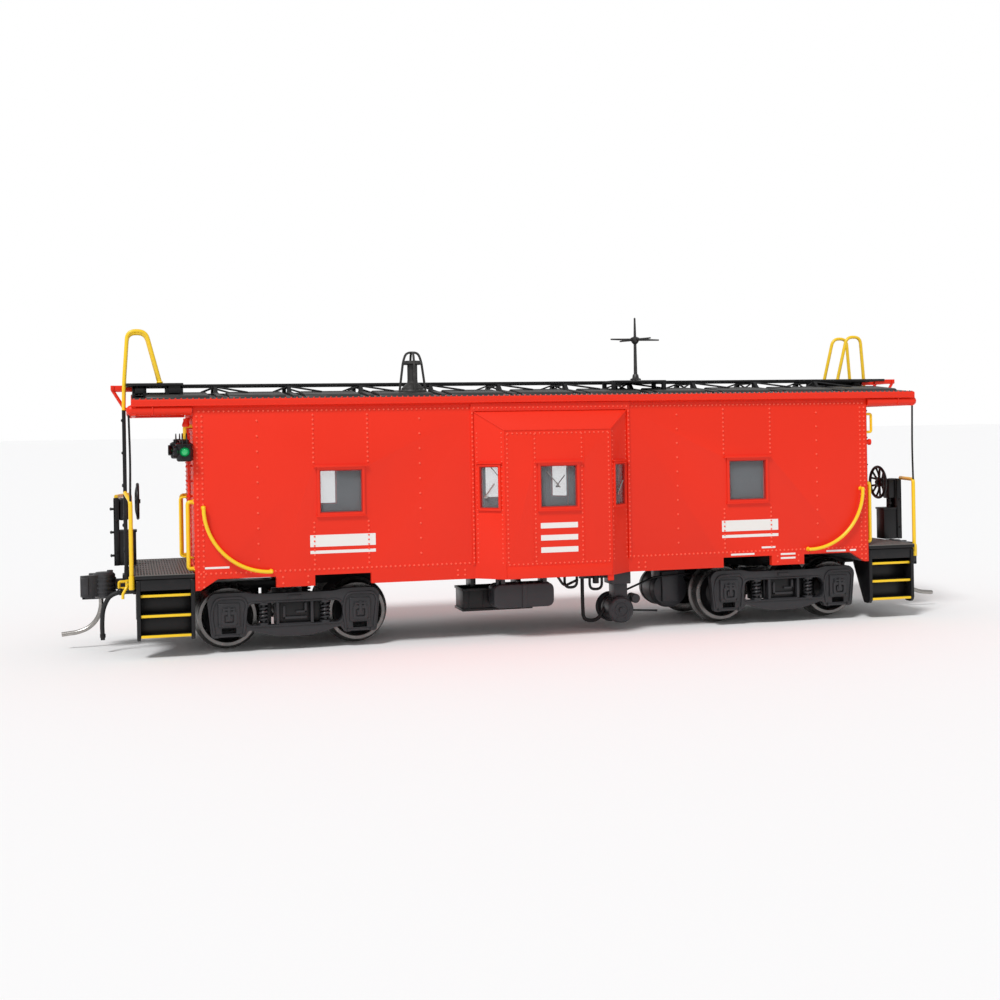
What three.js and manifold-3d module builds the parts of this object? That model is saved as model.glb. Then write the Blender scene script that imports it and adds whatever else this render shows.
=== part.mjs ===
// A 1:87 bay-window caboose. X runs along the car, Y across it and Z up, in millimetres.
// The origin is under the middle of the car, level with the lowest points of the wheel flanges.
import * as THREE from "three";
import { mergeVertices } from "three/addons/utils/BufferGeometryUtils.js";
import Module from "manifold-3d";

const wasm = await Module();
wasm.setup();

// ---- Driving sizes -----------------------------------------------------------------------
const GAP = 0.1; // between pieces that are placed on each other's flat faces
const TURN_GAP = 0.35; // round a piece that turns or swings

const BODY_HALF_LENGTH = 58.7;
const BODY_HALF_WIDTH = 15;
const WALL = 1;
const PLATFORM_DEPTH = 9.3; // the open end platform, under the roof's overhang
const SILL_Z = 10.4; // lower edge of the side sheets
const CUTOUT_RISE = 1.7; // the sheets are cut away by this much over the trucks
const EAVE_UNDER_Z = 38;
const FASCIA_HEIGHT = 2.55; // at the overhangs
const EAVE_STRIP_HEIGHT = 1.15; // along the body, where the side sheets show below it
const FASCIA = 0.7; // thickness of the roof's edge strip
const ROOF_RISE = 1.25; // from eave to ridge
const ROOF_SKIN = 0.85;
const DECK_Z = 13.2; // top of the floor and of the end platforms
const DECK_THICK = 1;
const PLATFORM_THICK = 0.7;
const WINDOW = 6.9; // clear opening of a side window
const WINDOW_Z = 25.45;
const WINDOW_SETBACK = 23.2; // body end to window centre

const BAY_DEPTH = 3.85;
const BAY_HALF_AT_WALL = 13.4;
const BAY_HALF_FRONT = 9.15;
const BAY_ROOF_DROP = 3.2; // from the wall down to the bay's front
const BAY_WALL = 0.9;

const TREAD_RADIUS = 4.81;
const FLANGE_DEPTH = 0.63;
const BACK_TO_BACK = 14.5;
const WHEEL_WIDTH = 2.75;
const FLANGE_WIDTH = 0.8;
const JOURNAL_RADIUS = 0.65;
const AXLE_RADIUS = 1.1;
const WHEELBASE_HALF = 10.5;
const AXLE_TO_END = 5.2; // outer axle to body end
const BOLSTER_PAD_RISE = 3.66; // axle's line to the pad on the underframe
const FRAME_INNER_Y = 11.8;
const FRAME_THICK = 1.3;
const BOX_FACE_Y = 14;

const COUPLER_ABOVE_RAIL = 9.92;
const PULLING_FACE_OUT = 7.7; // knuckle face past the end beam
const SHANK_HALF_WIDTH = 1.3;
const SHANK_HALF_HEIGHT = 0.8;
const PIVOT_RADIUS = 0.8;

const WIRE = 0.3; // radius of the grab irons
const WIRE_SIDES = 6;
const RAIL_WIRE = 0.38; // radius of the platform railings
const LADDER_WIDTH = 5.4;
const LADDER_PITCH = 5.2;
const LADDER_INNER_Y = 4.2;
const RAILING_HEIGHT = 11.5;
const BRAKE_WHEEL_RADIUS = 3.1;
const BRAKE_STAND_Y = 3.8;
const TRUCK_SWIVEL = THREE.MathUtils.degToRad(6); // each way
const BEAM_OUT = 0.7; // the end beam's face past the roof's end
const WALKWAY_RISE = 1.45; // from the ridge to the top of the roof walkway
const LAP = 0.1; // how far a piece's joined solids run into each other
const PAST = 1; // how far a cut runs past the surface it opens

// ---- Sizes that follow from them ---------------------------------------------------------
const FLANGE_RADIUS = TREAD_RADIUS + FLANGE_DEPTH;
const AXLE_Z = FLANGE_RADIUS;
const COUPLER_Z = FLANGE_DEPTH + COUPLER_ABOVE_RAIL;
const BOLSTER_PAD_Z = AXLE_Z + BOLSTER_PAD_RISE;
const ROOF_HALF_LENGTH = BODY_HALF_LENGTH + PLATFORM_DEPTH;
const ROOF_HALF_WIDTH = BODY_HALF_WIDTH + FASCIA;
const EAVE_TOP_Z = EAVE_UNDER_Z + FASCIA_HEIGHT;
const RIDGE_Z = EAVE_TOP_Z + ROOF_RISE;
const WALL_TOP_Z = EAVE_TOP_Z - ROOF_SKIN - GAP;
const CUTOUT_Z = SILL_Z + CUTOUT_RISE;
const INNER_HALF_WIDTH = BODY_HALF_WIDTH - WALL;
const INNER_HALF_LENGTH = BODY_HALF_LENGTH - WALL;
const FLOOR_UNDER_Z = DECK_Z - DECK_THICK;
const PLATFORM_UNDER_Z = DECK_Z - PLATFORM_THICK;
const TRUCK_X = BODY_HALF_LENGTH - AXLE_TO_END - WHEELBASE_HALF;
const WINDOW_X = BODY_HALF_LENGTH - WINDOW_SETBACK;
const BEAM_X = ROOF_HALF_LENGTH + BEAM_OUT; // outer face of the end beam
const WALKWAY_Z = RIDGE_Z + WALKWAY_RISE;
const BAY_FRONT_Z = EAVE_UNDER_Z - BAY_ROOF_DROP;
const BAY_ROOF_SLOPE = BAY_ROOF_DROP / BAY_DEPTH;
const BAY_ANGLE = Math.atan2(BAY_DEPTH, BAY_HALF_AT_WALL - BAY_HALF_FRONT); // of its end panels
const BAY_FRONT_Y = -BODY_HALF_WIDTH - BAY_DEPTH;

// ---- Solids ------------------------------------------------------------------------------
const ARC_STEPS = 6; // straight steps in each arc of an outline
const AXES = {
  xy: [new THREE.Vector3(1, 0, 0), new THREE.Vector3(0, 1, 0), new THREE.Vector3(0, 0, 1)],
  xz: [new THREE.Vector3(1, 0, 0), new THREE.Vector3(0, 0, 1), new THREE.Vector3(0, -1, 0)],
  yz: [new THREE.Vector3(0, 1, 0), new THREE.Vector3(0, 0, 1), new THREE.Vector3(1, 0, 0)],
};

// A closed three.js geometry as a manifold solid.
function solid(geometry) {
  const bare = geometry.clone();
  bare.deleteAttribute("normal");
  bare.deleteAttribute("uv");
  const merged = mergeVertices(bare, 1e-4);
  const mesh = new wasm.Mesh({
    numProp: 3,
    vertProperties: new Float32Array(merged.attributes.position.array),
    triVerts: new Uint32Array(merged.index.array),
  });
  return new wasm.Manifold(mesh);
}

const join = (...pieces) => pieces.flat().reduce((whole, piece) => whole.add(piece));
const cut = (body, ...tools) => tools.flat().reduce((rest, tool) => rest.subtract(tool), body);

function box([x0, x1], [y0, y1], [z0, z1]) {
  const geometry = new THREE.BoxGeometry(x1 - x0, y1 - y0, z1 - z0);
  geometry.translate((x0 + x1) / 2, (y0 + y1) / 2, (z0 + z1) / 2);
  return solid(geometry);
}

// A flat outline in one plane, drawn out along the plane's normal from one place to another.
function prism(plane, outline, from, to) {
  const shape = outline instanceof THREE.Shape ? outline
    : new THREE.Shape(outline.map(([a, b]) => new THREE.Vector2(a, b)));
  const options = { depth: to - from, bevelEnabled: false, curveSegments: ARC_STEPS / 2 };
  const geometry = new THREE.ExtrudeGeometry(shape, options);
  const [u, v, w] = AXES[plane];
  geometry.translate(0, 0, plane === "xz" ? -to : from);
  geometry.applyMatrix4(new THREE.Matrix4().makeBasis(u, v, w));
  return solid(geometry);
}

function rod(start, end, radius, sides = WIRE_SIDES) {
  const a = new THREE.Vector3(...start);
  const b = new THREE.Vector3(...end);
  const along = b.clone().sub(a);
  const geometry = new THREE.CylinderGeometry(radius, radius, along.length(), sides);
  const turn = new THREE.Quaternion();
  turn.setFromUnitVectors(new THREE.Vector3(0, 1, 0), along.clone().normalize());
  geometry.applyQuaternion(turn);
  geometry.translate(...a.add(b).multiplyScalar(0.5).toArray());
  return solid(geometry);
}

function ball(centre, radius, sides = 8) {
  const geometry = new THREE.SphereGeometry(radius, sides, sides / 2);
  geometry.translate(...centre);
  return solid(geometry);
}

const CORNER_LAP = 0.7; // of a bent rod's radius, past each corner
// Straight rods from point to point, each run a little past its corners.
function bentRod(points, radius, sides = WIRE_SIDES) {
  const places = points.map((point) => new THREE.Vector3(...point));
  const last = points.length - 2;
  return join(places.slice(1).map((end, i) => {
    const start = places[i];
    const past = end.clone().sub(start).setLength(radius * CORNER_LAP);
    const from = i === 0 ? start : start.clone().sub(past);
    const to = i === last ? end : end.clone().add(past);
    return rod(from.toArray(), to.toArray(), radius, sides);
  }));
}

// A round wire that follows a smooth curve through the points.
function curvedWire(points, radius, steps, sides = WIRE_SIDES) {
  const path = new THREE.CatmullRomCurve3(points.map((p) => new THREE.Vector3(...p)));
  const section = new THREE.Shape();
  section.absarc(0, 0, radius, 0, 2 * Math.PI);
  const options = { steps, curveSegments: sides / 2, extrudePath: path, bevelEnabled: false };
  return solid(new THREE.ExtrudeGeometry(section, options));
}

// A profile of [radius, place] points turned about an axis through the centre.
function turned(profile, centre, axis, segments) {
  const points = profile.map(([r, place]) => new THREE.Vector2(r, place));
  const geometry = new THREE.LatheGeometry(points, segments);
  if (axis === "y") geometry.rotateY(Math.PI);
  if (axis === "z") geometry.rotateX(Math.PI / 2);
  geometry.translate(...centre);
  return solid(geometry);
}

const mirrorX = (body) => body.mirror([1, 0, 0]);
const mirrorY = (body) => body.mirror([0, 1, 0]);
// The same piece at the other end of the car, turned half round about Z.
const turnedRound = (body) => body.rotate([0, 0, 180]);
const arcPoints = (count, make) => Array.from({ length: count + 1 }, (_, i) => make(i / count));

// ---- Finishes ----------------------------------------------------------------------------
const finish = (color, roughness, metalness = 0) =>
  new THREE.MeshStandardMaterial({ color, roughness, metalness });
const BODY_RED = finish(0xe8331c, 0.45);
const ROOF_BLACK = finish(0x1b1b1d, 0.6);
const FRAME_BLACK = finish(0x2a2a2d, 0.65);
const TRUCK_GREY = finish(0x3b3b3f, 0.65);
const SAFETY_YELLOW = finish(0xf5dc1e, 0.4);
const CLEAR = finish(0xdfe8ea, 0.1);
const WHEEL_METAL = finish(0x77777a, 0.35, 0.9);
const STEEL = finish(0xb5b5b5, 0.3, 0.9);

const car = new THREE.Group();
car.name = "bay_window_caboose";

function place(name, body, material, group = car) {
  const made = body.getMesh();
  const geometry = new THREE.BufferGeometry();
  geometry.setAttribute("position", new THREE.BufferAttribute(made.vertProperties, 3));
  geometry.setIndex(new THREE.BufferAttribute(made.triVerts, 1));
  geometry.computeVertexNormals();
  const mesh = new THREE.Mesh(geometry, material);
  mesh.name = name;
  group.add(mesh);
}

// ---- Body shell --------------------------------------------------------------------------
const CUTOUT_HALF = WHEELBASE_HALF + 1.7; // half length of the cut over a truck
const CUTOUT_RAMP = 2.7; // slope at the cut's outer end
const TAB_HALF = 3.1; // half length of the tab left in the middle of the cut
const WINDOW_FRAME = 0.45;
const FRAME_PROUD = 0.3;
const HOOD_OVERHANG = 0.5;
const BAY_WINDOW = 6.3;
const BAY_END_WINDOW = 3.5;
const DOOR_HALF = 3.8;
const DOOR_TOP_Z = 34.5;
const DOOR_RECESS = 0.4;
const DOOR_WINDOW_HALF = 2.2;
const DOOR_WINDOW_LAP = 2 * WALL; // depth of the cut for the door's window
const LAMP_PEG = { z: 31.6, radius: 0.4, length: 1.3, inset: 1.2 };

// The lower edge of one side sheet: two cuts over each truck, with a tab between them.
function sideCutouts(y0, y1) {
  const outer = [
    [TRUCK_X + TAB_HALF, SILL_Z - PAST],
    [TRUCK_X + TAB_HALF, CUTOUT_Z],
    [TRUCK_X + CUTOUT_HALF, CUTOUT_Z],
    [TRUCK_X + CUTOUT_HALF + CUTOUT_RAMP, SILL_Z],
    [TRUCK_X + CUTOUT_HALF + CUTOUT_RAMP, SILL_Z - PAST],
  ];
  const right = join(
    prism("xz", outer, y0, y1),
    box([TRUCK_X - CUTOUT_HALF, TRUCK_X - TAB_HALF], [y0, y1], [SILL_Z - PAST, CUTOUT_Z]),
  );
  return join(right, mirrorX(right));
}

// The space a bay takes, shrunk by an inset that leaves its walls.
function baySpace(inset, inward) {
  const atWall = BAY_HALF_AT_WALL - inset / Math.sin(BAY_ANGLE);
  const atFront = BAY_HALF_FRONT - inset * Math.tan(BAY_ANGLE / 2);
  const plan = [
    [-atWall, -BODY_HALF_WIDTH + inward],
    [-atWall, -BODY_HALF_WIDTH],
    [-atFront, BAY_FRONT_Y + inset],
    [atFront, BAY_FRONT_Y + inset],
    [atWall, -BODY_HALF_WIDTH],
    [atWall, -BODY_HALF_WIDTH + inward],
  ];
  const side = [
    [BAY_FRONT_Y - PAST, SILL_Z + inset],
    [BAY_FRONT_Y - PAST, BAY_FRONT_Z - inset - BAY_ROOF_SLOPE * PAST],
    [-BODY_HALF_WIDTH, EAVE_UNDER_Z - inset],
    [-BODY_HALF_WIDTH + inward, EAVE_UNDER_Z - inset],
    [-BODY_HALF_WIDTH + inward, SILL_Z + inset],
  ];
  const upright = prism("xy", plan, SILL_Z, EAVE_UNDER_Z);
  return upright.intersect(prism("yz", side, -BAY_HALF_AT_WALL, BAY_HALF_AT_WALL));
}

// A raised square frame round an opening in a wall that faces -Y.
function windowFrame(x, y, half, height) {
  const outer = half + WINDOW_FRAME;
  const tall = height / 2 + WINDOW_FRAME;
  return join(
    box([x - outer, x + outer], [y - FRAME_PROUD, y + 2 * LAP], [WINDOW_Z - tall, WINDOW_Z + tall]),
    box([x - outer - HOOD_OVERHANG, x + outer + HOOD_OVERHANG],
      [y - 2 * FRAME_PROUD, y + 2 * LAP], [WINDOW_Z + tall, WINDOW_Z + tall + FRAME_PROUD]),
  );
}

function windowHole(x, y, half, height) {
  return box([x - half, x + half], [y - PAST, y + WALL + PAST],
    [WINDOW_Z - height / 2, WINDOW_Z + height / 2]);
}

// The window in the bay's slanting end panel, as a bar across the panel.
function bayEndWindow(sign) {
  const middle = sign * (BAY_HALF_AT_WALL + BAY_HALF_FRONT) / 2;
  const hole = box([-BAY_END_WINDOW / 2, BAY_END_WINDOW / 2], [-BAY_DEPTH / 2, BAY_DEPTH / 2],
    [WINDOW_Z - WINDOW / 2, WINDOW_Z + WINDOW / 2]);
  const turn = THREE.MathUtils.radToDeg(BAY_ANGLE) * sign;
  return hole.rotate([0, 0, turn]).translate([middle, -BODY_HALF_WIDTH - BAY_DEPTH / 2, 0]);
}

function sideDetails() {
  const y = -BODY_HALF_WIDTH;
  return {
    added: [
      windowFrame(-WINDOW_X, y, WINDOW / 2, WINDOW),
      windowFrame(WINDOW_X, y, WINDOW / 2, WINDOW),
      windowFrame(0, BAY_FRONT_Y, BAY_WINDOW / 2, WINDOW),
    ],
    removed: [
      windowHole(-WINDOW_X, y, WINDOW / 2, WINDOW),
      windowHole(WINDOW_X, y, WINDOW / 2, WINDOW),
      windowHole(0, BAY_FRONT_Y, BAY_WINDOW / 2, WINDOW),
      bayEndWindow(-1),
      bayEndWindow(1),
      sideCutouts(y - PAST, y + WALL + LAP / 2),
    ],
  };
}

function endDoor() {
  const x = BODY_HALF_LENGTH;
  const pegY = -BODY_HALF_WIDTH + LAMP_PEG.inset;
  return {
    recess: box([x - DOOR_RECESS, x + PAST], [-DOOR_HALF, DOOR_HALF], [DECK_Z, DOOR_TOP_Z]),
    window: box([x - DOOR_WINDOW_LAP, x + PAST], [-DOOR_WINDOW_HALF, DOOR_WINDOW_HALF],
      [WINDOW_Z, WINDOW_Z + WINDOW]),
    lampPeg: rod([x - WALL / 2, pegY, LAMP_PEG.z], [x + LAMP_PEG.length, pegY, LAMP_PEG.z],
      LAMP_PEG.radius, 8),
  };
}

function bodyShell() {
  const L = BODY_HALF_LENGTH;
  const W = BODY_HALF_WIDTH;
  const outside = box([-L, L], [-W, W], [SILL_Z, WALL_TOP_Z]);
  const inside = box([-INNER_HALF_LENGTH, INNER_HALF_LENGTH],
    [-INNER_HALF_WIDTH, INNER_HALF_WIDTH], [SILL_Z - PAST, WALL_TOP_Z + PAST]);
  const bay = baySpace(0, WALL);
  const bayInside = baySpace(BAY_WALL, WALL + PAST);
  const side = sideDetails();
  const door = endDoor();
  const shell = join(outside, bay, mirrorY(bay), side.added, side.added.map(mirrorY),
    door.lampPeg, mirrorY(door.lampPeg));
  const holes = [inside, bayInside, mirrorY(bayInside), side.removed, side.removed.map(mirrorY),
    door.recess, mirrorX(door.recess), door.window, mirrorX(door.window)];
  return cut(shell, holes.flat());
}
place("body_shell", bodyShell(), BODY_RED);

// ---- Glazing and floor weight ------------------------------------------------------------
const GLASS = 0.5;
const GLASS_LAP = { x: 1.5, z: 1.1 }; // behind the wall round an opening
const GLASS_FOLD = { wide: 0.4, narrow: 0.3 }; // how far the folds' insides are set back
// One clear strip a side: behind both windows along the wall, and folded out into the bay.
function glazingStrip() {
  const y = -INNER_HALF_WIDTH + GAP;
  const end = WINDOW_X + WINDOW / 2 + GLASS_LAP.x;
  const bayBack = BAY_FRONT_Y + BAY_WALL + GAP;
  const wide = BAY_HALF_AT_WALL - BAY_WALL / Math.sin(BAY_ANGLE) - TURN_GAP;
  const narrow = BAY_HALF_FRONT - BAY_WALL * Math.tan(BAY_ANGLE / 2) - TURN_GAP;
  const outer = [[-end, y], [-wide, y], [-narrow, bayBack], [narrow, bayBack], [wide, y], [end, y]];
  const wideFold = wide - GLASS_FOLD.wide;
  const narrowFold = narrow - GLASS_FOLD.narrow;
  const inner = [[end, y + GLASS], [wideFold, y + GLASS], [narrowFold, bayBack + GLASS],
    [-narrowFold, bayBack + GLASS], [-wideFold, y + GLASS], [-end, y + GLASS]];
  const half = WINDOW / 2 + GLASS_LAP.z;
  return prism("xy", [...outer, ...inner], WINDOW_Z - half, WINDOW_Z + half);
}
place("window_strip_near", glazingStrip(), CLEAR);
place("window_strip_far", mirrorY(glazingStrip()), CLEAR);

const WEIGHT = { thick: 1.8, fromEnd: 8, fromSide: 3 };
function floorWeight() {
  const half = INNER_HALF_LENGTH - WEIGHT.fromEnd;
  const wide = INNER_HALF_WIDTH - WEIGHT.fromSide;
  return box([-half, half], [-wide, wide], [DECK_Z + GAP, DECK_Z + GAP + WEIGHT.thick]);
}
place("floor_weight", floorWeight(), STEEL);

// ---- Roof --------------------------------------------------------------------------------
const RIB_PITCH = 12.1;
const RIB_HEIGHT = 0.45;
const RIB_HALF = 0.55;
const RIB_FROM_EAVE = 1.4;
const RIB_TAPER = 0.6;
const LAST_JOINT_X = ROOF_HALF_LENGTH - 9; // short of the ladder landing

// The roof's section across the car, from a level up to a slope this far under the top.
function roofSection(halfWidth, drop, from) {
  return [
    [-halfWidth, EAVE_TOP_Z - drop],
    [-halfWidth, from],
    [halfWidth, from],
    [halfWidth, EAVE_TOP_Z - drop],
    [0, RIDGE_Z - drop],
  ];
}

// The places along the roof where its panels meet, out to a limit.
function panelJoints(limit) {
  const count = Math.floor(limit / RIB_PITCH + 0.5);
  const right = Array.from({ length: count }, (_, i) => (i + 0.5) * RIB_PITCH);
  return [...right.map((x) => -x).reverse(), ...right];
}

// Raised ribs across the roof at the panel joints, up to the walkway's supports.
function roofRibs() {
  const y0 = -ROOF_HALF_WIDTH + RIB_FROM_EAVE;
  const edge = EAVE_TOP_Z + RIB_FROM_EAVE * ROOF_RISE / ROOF_HALF_WIDTH;
  const outline = [[y0, edge - 3 * LAP], [-y0, edge - 3 * LAP], [-y0 - RIB_TAPER, edge + RIB_HEIGHT],
    [0, RIDGE_Z + RIB_HEIGHT], [y0 + RIB_TAPER, edge + RIB_HEIGHT]];
  return panelJoints(LAST_JOINT_X).map((x) => prism("yz", outline, x - RIB_HALF, x + RIB_HALF));
}

// A shallow strip along the body, and deeper plates in the walls' planes round each overhang.
function roof() {
  const L = ROOF_HALF_LENGTH;
  const W = BODY_HALF_WIDTH;
  const body = BODY_HALF_LENGTH + GAP;
  const low = EAVE_UNDER_Z - PAST;
  const cover = prism("yz", roofSection(ROOF_HALF_WIDTH, 0, EAVE_TOP_Z - EAVE_STRIP_HEIGHT), -L, L);
  const plates = box([-L, L], [-W, W], [EAVE_UNDER_Z, EAVE_TOP_Z - LAP]);
  const overBody = prism("yz", roofSection(W + GAP, ROOF_SKIN, low), -body, body);
  const overEnds = prism("yz", roofSection(W - FASCIA, ROOF_SKIN, low), -L + FASCIA, L - FASCIA);
  return join(cut(join(cover, plates), overBody, overEnds), roofRibs());
}
place("roof", roof(), ROOF_BLACK);

// ---- Roof walkway ------------------------------------------------------------------------
const WALKWAY_HALF = 3.6;
const WALKWAY_THICK = 0.45;
const WALKWAY_PAST = 1.2; // past the roof's end
const SUPPORT_HALF = 0.4;
const SUPPORT_TOP_Z = WALKWAY_Z - 2 * LAP; // bearers run this far up into the boards
const LANDING = { length: 8.2, past: 0.8, margin: 0.8, bearers: [[2.4, 0.2], [8.1, 5.4]] };
const LANDING_LAP = 1.2;
const ARM = { inset: 0.5, half: 0.3, out: 3.2, deep: 1, foot: 0.75, footRise: 1.2 };
const RIB_TOP_Z = RIDGE_Z + RIB_HEIGHT;

// The slope of the roof's top at a distance from the middle.
const roofTop = (y) => RIDGE_Z - ROOF_RISE * Math.abs(y) / ROOF_HALF_WIDTH;

function walkwaySupports() {
  return panelJoints(LAST_JOINT_X).map((x) => box([x - SUPPORT_HALF, x + SUPPORT_HALF],
    [-WALKWAY_HALF, WALKWAY_HALF], [RIB_TOP_Z + GAP, SUPPORT_TOP_Z]));
}

// The landing across the roof beside a ladder, carried on two bearers.
function ladderLanding() {
  // The boards run in under the main walkway's edge.
  const inner = WALKWAY_HALF - LANDING_LAP;
  const outer = LADDER_INNER_Y + LADDER_WIDTH + LANDING.margin;
  const x = ROOF_HALF_LENGTH;
  const bearers = LANDING.bearers.map(([from, to]) => box([x - from, x - to], [-outer, -inner],
    [roofTop(inner) + 2 * GAP, SUPPORT_TOP_Z]));
  return join(
    box([x - LANDING.length, x + LANDING.past], [-outer, -inner],
      [WALKWAY_Z - WALKWAY_THICK, WALKWAY_Z]),
    bearers,
  );
}

function walkwayEnd() {
  const x = ROOF_HALF_LENGTH;
  const arm = (y) => join(
    box([x - 1, x + ARM.out], [y - ARM.half, y + ARM.half], [WALKWAY_Z - ARM.deep, WALKWAY_Z - LAP]),
    rod([x + ARM.out - 2 * LAP, y, WALKWAY_Z - 0.7], [x + ARM.foot, y, EAVE_UNDER_Z + ARM.footRise],
      ARM.half),
  );
  return join(arm(-WALKWAY_HALF + ARM.inset), arm(WALKWAY_HALF - ARM.inset),
    box([x + ARM.out - 2 * ARM.half, x + ARM.out], [-WALKWAY_HALF, WALKWAY_HALF],
      [WALKWAY_Z - ARM.deep + LAP, WALKWAY_Z - LAP]));
}

function walkway() {
  const x = ROOF_HALF_LENGTH + WALKWAY_PAST;
  const board = box([-x, x], [-WALKWAY_HALF, WALKWAY_HALF],
    [WALKWAY_Z - WALKWAY_THICK, WALKWAY_Z]);
  const landing = mirrorX(ladderLanding());
  return join(board, walkwaySupports(), landing, turnedRound(landing), walkwayEnd(),
    turnedRound(walkwayEnd()));
}
place("roof_walkway", walkway(), ROOF_BLACK);

// ---- Stack and aerial --------------------------------------------------------------------
const STACK_X = -22.3;
const STACK_Y = -9;
const STACK_TOP_Z = WALKWAY_Z + 3.35;
const STACK_SIDES = 12;
const STACK = { radius: 0.85, bore: 0.55, cap: 1.5, cone: 1.3, flare: 1.9, foot: 2.4 };
const HOOP = { wire: 0.17, foot: 2.2, waist: 1.45, crown: 0.8, rise: 1.5 };
const AERIAL_X = 18;
const AERIAL_Y = -7.4;
const AERIAL_PLATE = { half: 5, wide: 5.6, thick: 0.4, leg: 0.35, drop: 0.1 };
const AERIAL = { mast: 0.3, hubRise: 7.1, tip: 3.9, arm: 5, armWire: 0.2, armTurn: 12 };

function smokestack() {
  const base = roofTop(STACK_Y) + 0.35;
  const top = STACK_TOP_Z;
  const at = [STACK_X, STACK_Y, 0];
  const { radius, bore, cap, cone, flare } = STACK;
  const pipe = turned([[0, base], [flare, base], [flare, base + 0.5], [cone, base + 1.1],
    [radius, base + 1.5], [radius, top], [bore, top], [bore, base + 2], [0, base + 2]],
  at, "z", STACK_SIDES);
  const side = [[HOOP.foot, base + 0.3], [HOOP.waist, top + LAP], [HOOP.crown, top + HOOP.rise]];
  const outline = [...side, ...side.map(([out, z]) => [-out, z]).reverse()];
  const hoop = (dx, dy) => bentRod(outline.map(([out, z]) =>
    [STACK_X - out * dx, STACK_Y - out * dy, z]), HOOP.wire, 4);
  const foot = turned([[0, base], [STACK.foot, base], [STACK.foot, base + 0.35], [0, base + 0.35]],
    at, "z", STACK_SIDES);
  const band = turned([[0.8, top - 0.4], [cap, top - 0.4], [cap, top], [0.8, top], [0.8, top - 0.4]],
    at, "z", STACK_SIDES);
  return join(pipe, foot, band, hoop(1, 0), hoop(0, 1));
}
place("smokestack", smokestack(), ROOF_BLACK);

function aerialPlate() {
  const { half, wide, thick, leg, drop } = AERIAL_PLATE;
  const z = WALKWAY_Z - drop;
  const inner = -WALKWAY_HALF - GAP;
  const outer = inner - wide;
  const legs = [-half + leg, half - leg].map((dx) => [outer + leg, inner - leg].map((y) =>
    box([AERIAL_X + dx - leg, AERIAL_X + dx + leg], [y - leg, y + leg], [roofTop(y) + GAP, z])));
  return join(box([AERIAL_X - half, AERIAL_X + half], [outer, inner], [z - thick, z]), legs.flat());
}
place("aerial_platform", aerialPlate(), ROOF_BLACK);

function aerial() {
  const foot = WALKWAY_Z - AERIAL_PLATE.drop + GAP;
  const hub = foot + AERIAL.hubRise;
  const at = [AERIAL_X, AERIAL_Y];
  const mast = rod([...at, foot], [...at, hub + AERIAL.tip], AERIAL.mast, 8);
  const base = turned([[0, foot], [0.9, foot], [0.55, foot + 0.7], [0, foot + 0.7]],
    [...at, 0], "z", 12);
  const spider = turned([[0, hub - 0.6], [0.5, hub - 0.6], [0.8, hub], [0.8, hub + 0.35],
    [0, hub + 0.35]], [...at, 0], "z", 12);
  const arms = [0, 90, 180, 270].map((degrees) => {
    const angle = THREE.MathUtils.degToRad(degrees + AERIAL.armTurn);
    return rod([...at, hub], [AERIAL_X + AERIAL.arm * Math.cos(angle),
      AERIAL_Y + AERIAL.arm * Math.sin(angle), hub], AERIAL.armWire);
  });
  return join(mast, base, spider, arms);
}
place("radio_aerial", aerial(), ROOF_BLACK);

// ---- Underframe --------------------------------------------------------------------------
const SCREW_RADIUS = 0.9;
const PAD_RADIUS = 2.6;
const CENTRE_SILL_HALF = 2.4;
const SILL_RISE = 0.4;
const SILL_UNDER_Z = BOLSTER_PAD_Z + SILL_RISE; // underside of the centre sill between the trucks
const BEARERS = { pitch: 12, half: 0.6 };
const BOLSTER_HALF = 2.2;
const DRAFT_HALF_WIDTH = 2.6;
const DRAFT_OUT = 1.1;
const DRAFT_X1 = BEAM_X + DRAFT_OUT; // mouth of the draft box
const DRAFT_LENGTH = 9;
const DRAFT_HALF_HEIGHT = SHANK_HALF_HEIGHT + 0.7;
const PIVOT_IN = 2.4; // from the draft box's inner end
const COUPLER_PIVOT_X = DRAFT_X1 - DRAFT_LENGTH + PIVOT_IN;
const COUPLER_FACE_X = BEAM_X + PULLING_FACE_OUT;

// A box with a flared slot for the coupler's shank and a round post that the shank swings on.
function draftBox() {
  const x0 = DRAFT_X1 - DRAFT_LENGTH;
  const z0 = COUPLER_Z - DRAFT_HALF_HEIGHT;
  const z1 = Math.min(COUPLER_Z + DRAFT_HALF_HEIGHT, PLATFORM_UNDER_Z - GAP);
  const slot = [[COUPLER_PIVOT_X - 1.6, -1.9], [COUPLER_PIVOT_X + 1, -1.75],
    [DRAFT_X1 + 1, -2.35], [DRAFT_X1 + 1, 2.35], [COUPLER_PIVOT_X + 1, 1.75],
    [COUPLER_PIVOT_X - 1.6, 1.9]];
  const half = SHANK_HALF_HEIGHT + 0.3;
  return join(
    cut(box([x0, DRAFT_X1], [-DRAFT_HALF_WIDTH, DRAFT_HALF_WIDTH], [z0, z1]),
      prism("xy", slot, COUPLER_Z - half, COUPLER_Z + half)),
    rod([COUPLER_PIVOT_X, 0, z0 + 0.1], [COUPLER_PIVOT_X, 0, z1 - 0.1], PIVOT_RADIUS, 14),
  );
}

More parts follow.
